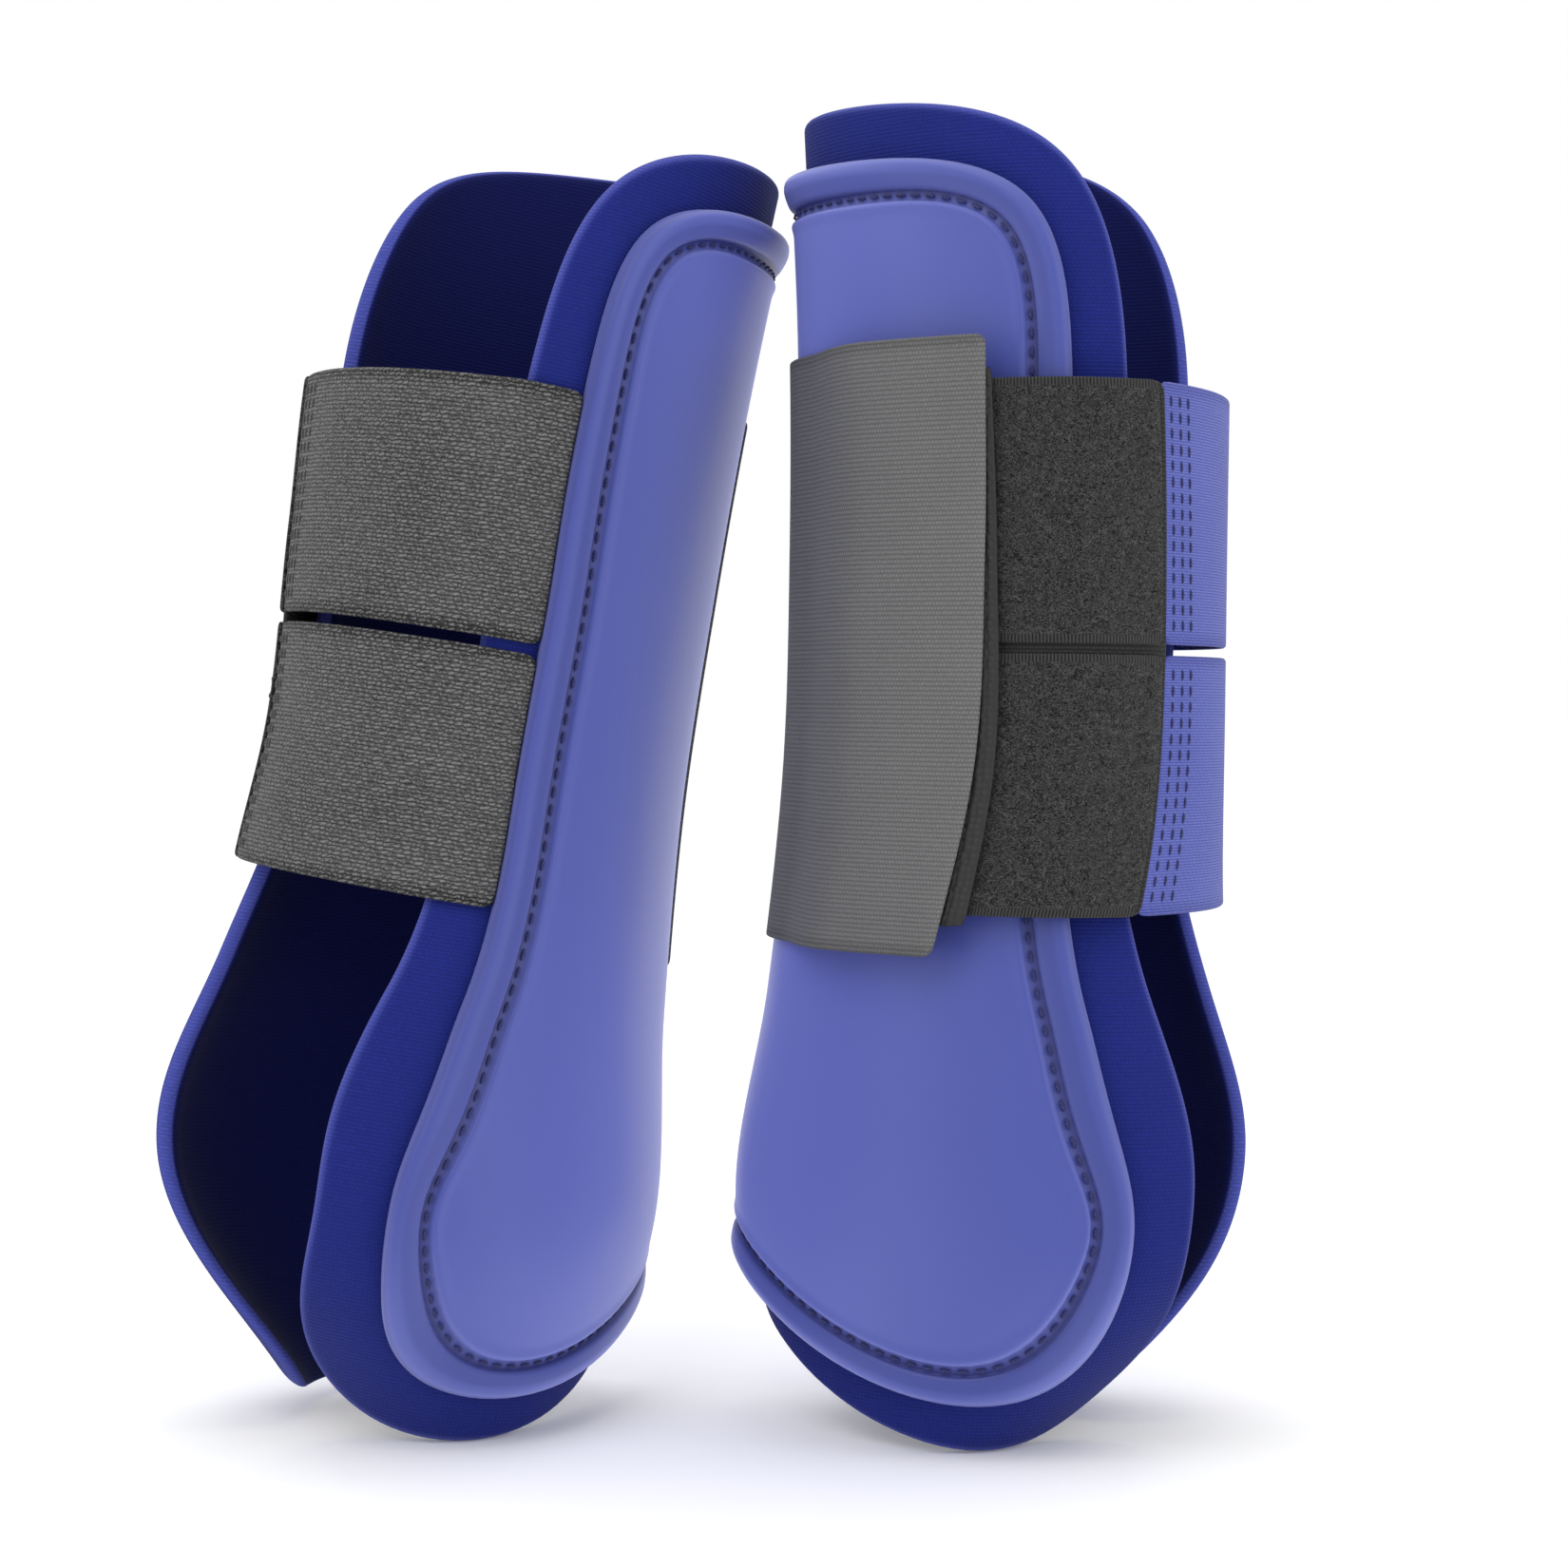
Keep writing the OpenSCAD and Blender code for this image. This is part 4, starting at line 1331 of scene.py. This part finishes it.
@dataclass
class ElasticStraps(Part):
    """The two elastic straps with their sewn ends, and the stitch rows at the panel's seam."""

    elastic: str
    thread: str
    edge_clear: float = 1.0
    row_margin: float = 2.2
    bend_reach: float = 2.0
    stitch: Stitch = Stitch(pitch=3.0, length=2.3, radius=0.28)

    def __post_init__(self) -> None:
        """Work out where the sewn ends leave the rim, and how far the straps run to the seam."""
        boot, c = self.boot, self.boot.cut
        ends = np.array([boot.low_z, boot.top_z])
        self.anchor = float(c.edge_girth(c.border_w, ends).max()) + boot.build.anchor_lap
        depth, width = boot.form.halves(np.array(boot.closure_z))
        self.run = math.pi * float(depth + width) - boot.seam - self.anchor

    def chord(self, z: Array, up: Array) -> tuple[Array, Array]:
        """Ends of a strap's free length at height z: at the seam and at the lining's edge."""
        boot, b = self.boot, self.boot.build
        seam = np.full_like(z, boot.seam)
        first = boot.form.skin(seam + b.sewn_gap, z, b.panel_low - boot.sink(seam) + up)
        edge = -boot.cut.edge_girth(0, z) - self.edge_clear
        return first, boot.form.skin(edge, z, b.free_gap + up)

    def form(self, x: Array, z: Array, up: Array) -> Array:
        """Point on an elastic strap: x from 0 at the panel's seam to 1 at the shell's rim.

        The sewn end follows the skin. From the lining's edge to the seam the strap is a chord
        of its own height, bowed outwards by a parabola, whose rise is set so that the strap's
        front runs straight up the boot.
        """
        boot, b, leg = self.boot, self.boot.build, self.boot.form
        q_seam = leg.girth_angle(boot.seam + b.sewn_gap, z) - 2 * math.pi
        root = boot.cut.edge_girth(boot.cut.border_w, z) + 0.1
        q_edge = leg.girth_angle(-boot.cut.edge_girth(0, z) - self.edge_clear, z)
        q = q_seam + (leg.girth_angle(-root, z) - q_seam) * x
        u = np.clip((q - q_seam) / (q_edge - q_seam), 0, 1)
        first, last = self.chord(z, up)
        mid_first, mid_last = self.chord(np.full_like(z, boot.closure_z), up)
        way = last - first
        way /= np.hypot(way[..., 0], way[..., 1])[..., None]
        level = (mid_first + mid_last - first - last)[..., 0] / 2
        bow = 4 * u * (1 - u) * (b.strap_bow + level + 0.2 * up)
        taut = first + (last - first) * u[..., None]
        taut[..., 0] += bow * way[..., 1]
        taut[..., 1] -= bow * way[..., 0]
        laid = leg.at_angle(q, z, b.free_gap + up)
        point = np.where((q < q_edge)[..., None], taut, laid)
        point[..., 2] = z
        return point

    def strap(self, part: str, low: float, high: float) -> None:
        """One elastic strap with its sewn end, in one piece across the strap hinge."""
        boot, b, c = self.boot, self.boot.build, self.boot.cut
        length = self.run + self.anchor - float(c.edge_girth(c.border_w, np.array(low)))
        sheet = Sheet(0.0, length, low, high, b.elastic_t, 2.0, 1.2)

        def form(x: Array, z: Array, up: Array) -> Array:
            """Point at a length x from the seam and height z."""
            return self.form(x / length, z, up)

        piece = boot.put(part, sheet.surface(form), self.elastic, None, part, part + "_anchor")
        boot.declare(piece, sheet, Hold.STRETCHED, form)
        boot.bend(piece, "strap", -self.anchor, b.free_gap + b.elastic_t,
                  (boot.low_z, boot.top_z), self.bend_reach)

    def seam_stitches(self) -> None:
        """Three rows of stitches on each strap beside the panel's seam."""
        boot, b = self.boot, self.boot.build
        rows = []
        for side in (1, -1):
            middle = boot.closure_z + side * (b.strap_gap + b.strap_w) / 2
            reach = b.strap_w / 2 - self.row_margin
            z = np.linspace(middle - reach, middle + reach, 200)
            for row in (1, 2, 3):
                x = np.full_like(z, row * b.seam_row_pitch / self.run)
                low = self.form(x, z, np.full_like(z, b.elastic_t + 0.02))
                out = self.form(x, z, np.full_like(z, b.elastic_t + 1.0)) - low
                rows.append(self.stitch.row(low, out))
        boot.put("strap_seam_stitching", merge(rows), self.thread, "strap", "strap_seam_stitching")

    def make(self) -> None:
        """Build both straps and their stitches."""
        boot, gap = self.boot, self.boot.build.strap_gap
        self.strap("upper_strap", boot.closure_z + gap / 2, boot.top_z)
        self.strap("lower_strap", boot.low_z, boot.closure_z - gap / 2)
        self.seam_stitches()


@dataclass
class CoverFlap(Part):
    """The woven cover flap with its sewn end, its hook tape and the end's stitching."""

    slant: float = 2.0
    curl: float = 0.9
    curl_run: float = 9.0
    hook_draw: float = 1.8
    hook_draw_run: float = 20.0
    bend_reach: float = 2.5
    stitch: Stitch = Stitch(pitch=3.2, length=2.5, radius=0.3)

    def __post_init__(self) -> None:
        """Work out the flap's upper, lower and sewn edges."""
        boot, b = self.boot, self.boot.build
        self.top, self.low = boot.top_z + b.flap_over, boot.low_z - b.flap_over
        self.start = b.fold_s - b.flap_sewn

    def lean(self, z: Array) -> Array:
        """Height above the closure's middle, as a share that is 1 at the flap's top edge."""
        return (z - self.boot.closure_z) / (self.top - self.boot.closure_z)

    def curled(self, s: Array) -> Array:
        """How far the free edge curls out at girth s."""
        return self.curl * ease((s - self.boot.flap_edge + self.curl_run) / self.curl_run)

    def rise(self, s: Array) -> Array:
        """Height of the flap's inner face off the lining at girth s."""
        b = self.boot.build
        up = ease((s - b.flap_rise_s) / (self.boot.panel_end - 4 - b.flap_rise_s))
        return b.flap_root_low + (b.flap_high_low - b.flap_root_low) * up

    def form(self, s: Array, z: Array, up: Array) -> Array:
        """Point on the flap, whose free edge slants and curls out a little."""
        b = self.boot.build
        share = np.clip((s - b.fold_s) / b.flap_len, 0, 1)
        along = s + self.slant * share * self.lean(z)
        return self.boot.form.skin(along, z, self.rise(s) + self.curled(s) + up)

    def hook_form(self, s: Array, z: Array, up: Array) -> Array:
        """Point on the hook tape, whose edge draws back under the flap towards its top."""
        lean = self.lean(z)
        near = ease((s - self.boot.flap_edge + self.hook_draw_run) / self.hook_draw_run)
        along = s + self.slant * lean - self.hook_draw * (1 + lean) * near
        low = self.boot.build.flap_hook_low
        return self.boot.form.skin(along, z, low + self.curled(s) + up)

    def flap(self) -> None:
        """The flap and its sewn end, in one piece across the flap hinge."""
        boot, b = self.boot, self.boot.build
        sheet = Sheet(self.start, boot.flap_edge, self.low, self.top, b.web_t, 1.8, 1.2)
        surface = sheet.surface(self.form)
        piece = boot.put("cover_flap", surface, "webbing_grey", None, "cover_flap",
                         "cover_flap_anchor")
        boot.declare(piece, sheet, Hold.LAID, self.form)
        boot.bend(piece, "flap", b.fold_s, b.flap_root_low + b.web_t, (self.low, self.top),
                  self.bend_reach)

    def hook_tape(self) -> None:
        """The hook tape inside the free edge, whose near-black lip past the edge is partly the tape
        and partly painted shadow under the flap.
        """
        boot, b = self.boot, self.boot.build
        margin = 2 * b.tape_margin
        sheet = Sheet(boot.panel_end - 2, boot.flap_edge + b.hook_and_shadow_lip, self.low + margin,
                      self.top - margin, b.hook_t, 1.0)
        surface = sheet.surface(self.hook_form)
        tape = boot.put("flap_hook_tape", surface, "hook_tape", "flap", "flap_hook_tape")
        boot.declare(tape, sheet, Hold.LAID, self.hook_form)

    def anchor_stitches(self) -> None:
        """Two rows of stitches that hold the sewn end to the shell."""
        boot, b = self.boot, self.boot.build
        z = np.linspace(self.low + b.tape_margin, self.top - b.tape_margin, 300)
        rows = []
        for inset in (b.tape_margin, 2 * b.tape_margin):
            s = np.full_like(z, self.start + inset)
            low = self.form(s, z, np.full_like(z, b.web_t + 0.04))
            out = self.form(s, z, np.full_like(z, b.web_t + 1)) - low
            rows.append(self.stitch.row(low, out))
        boot.put("flap_anchor_stitching", merge(rows), "thread_grey", "boot",
                 "flap_anchor_stitching")

    def make(self) -> None:
        """Build the flap, its hook tape and its stitches."""
        self.flap()
        self.hook_tape()
        self.anchor_stitches()


# ---------------------------------------------------------------- the studio


@dataclass(frozen=True)
class Studio:
    """Pale floor, soft light and the camera."""

    camera_at: tuple[float, float, float] = (0.0161, -0.6624, 0.148)
    camera_drop: float = 1.43
    lens: float = 74.2

    def make(self) -> None:
        """Set up the floor, the lights and the camera."""
        scene = bpy.context.scene
        scene.view_settings.view_transform = "Standard"
        world = bpy.data.worlds.new("studio")
        world.use_nodes = True
        world.node_tree.nodes["Background"].inputs[0].default_value = (1, 1, 1, 1)
        world.node_tree.nodes["Background"].inputs[1].default_value = 1.0
        scene.world = world
        self.floor()
        self.light("key", (-0.5, -0.9, 1.1), 0.9, 5.0)
        self.light("fill", (0.9, -0.9, 0.5), 1.0, 3.0)
        self.light("top", (0.0, 0.4, 1.3), 1.0, 3.0)
        data = bpy.data.cameras.new("camera")
        data.lens = self.lens
        data.sensor_width = 36.0
        camera = bpy.data.objects.new("camera", data)
        camera.location = self.camera_at
        camera.rotation_euler = (math.radians(90 - self.camera_drop), 0, 0)
        scene.collection.objects.link(camera)
        scene.camera = camera

    def floor(self) -> None:
        """A plain pale floor that reaches far behind the pair."""
        mesh = bpy.data.meshes.new("floor")
        reach = 12.0
        mesh.from_pydata(
            [(-reach, -reach, 0), (reach, -reach, 0), (reach, reach, 0), (-reach, reach, 0)],
            [], [(0, 1, 2, 3)],
        )
        floor = bpy.data.objects.new("floor", mesh)
        bpy.context.scene.collection.objects.link(floor)
        material = bpy.data.materials.new("floor_white")
        material.use_nodes = True
        shader = material.node_tree.nodes["Principled BSDF"]
        shader.inputs["Base Color"].default_value = (0.95, 0.95, 0.95, 1)
        shader.inputs["Emission Color"].default_value = (1, 1, 1, 1)
        shader.inputs["Emission Strength"].default_value = 0.08
        shader.inputs["Roughness"].default_value = 0.9
        mesh.materials.append(material)

    def light(self, name: str, at: tuple[float, float, float], size: float, power: float) -> None:
        """A square soft light aimed at the middle of the pair."""
        data = bpy.data.lights.new(name, "AREA")
        data.shape = "SQUARE"
        data.size = size
        data.energy = power
        light = bpy.data.objects.new(name, data)
        light.location = at
        aim = Vector((0, 0, 0.13)) - Vector(at)
        light.rotation_euler = aim.to_track_quat("-Z", "Y").to_euler()
        bpy.context.scene.collection.objects.link(light)


def main() -> None:
    """Build the studio and both boots."""
    logging.basicConfig(level=logging.INFO, format="%(name)s: %(message)s")
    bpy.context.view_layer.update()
    Studio().make()
    kit = Finishes()
    materials = {slot: finish.make(kit) for slot, finish in FINISHES.items()}
    left = Boot(Side.LEFT, Stand((-35.9, 29.0), tip=-2.5, lean=9.7, turn=220.0), materials)
    right = Boot(Side.RIGHT, Stand((20.1, 9.7), tip=0.0, lean=0.6, turn=-17.0), materials)
    for boot, elastic, thread in (
        (left, "elastic_grey", "thread_grey"), (right, "elastic_blue", "thread_navy"),
    ):
        Lining(boot).make()
        MouldedShell(boot).make()
        Closure(boot).make()
        ElasticStraps(boot, elastic, thread).make()
        CoverFlap(boot).make()


if __name__ == "__main__":
    main()
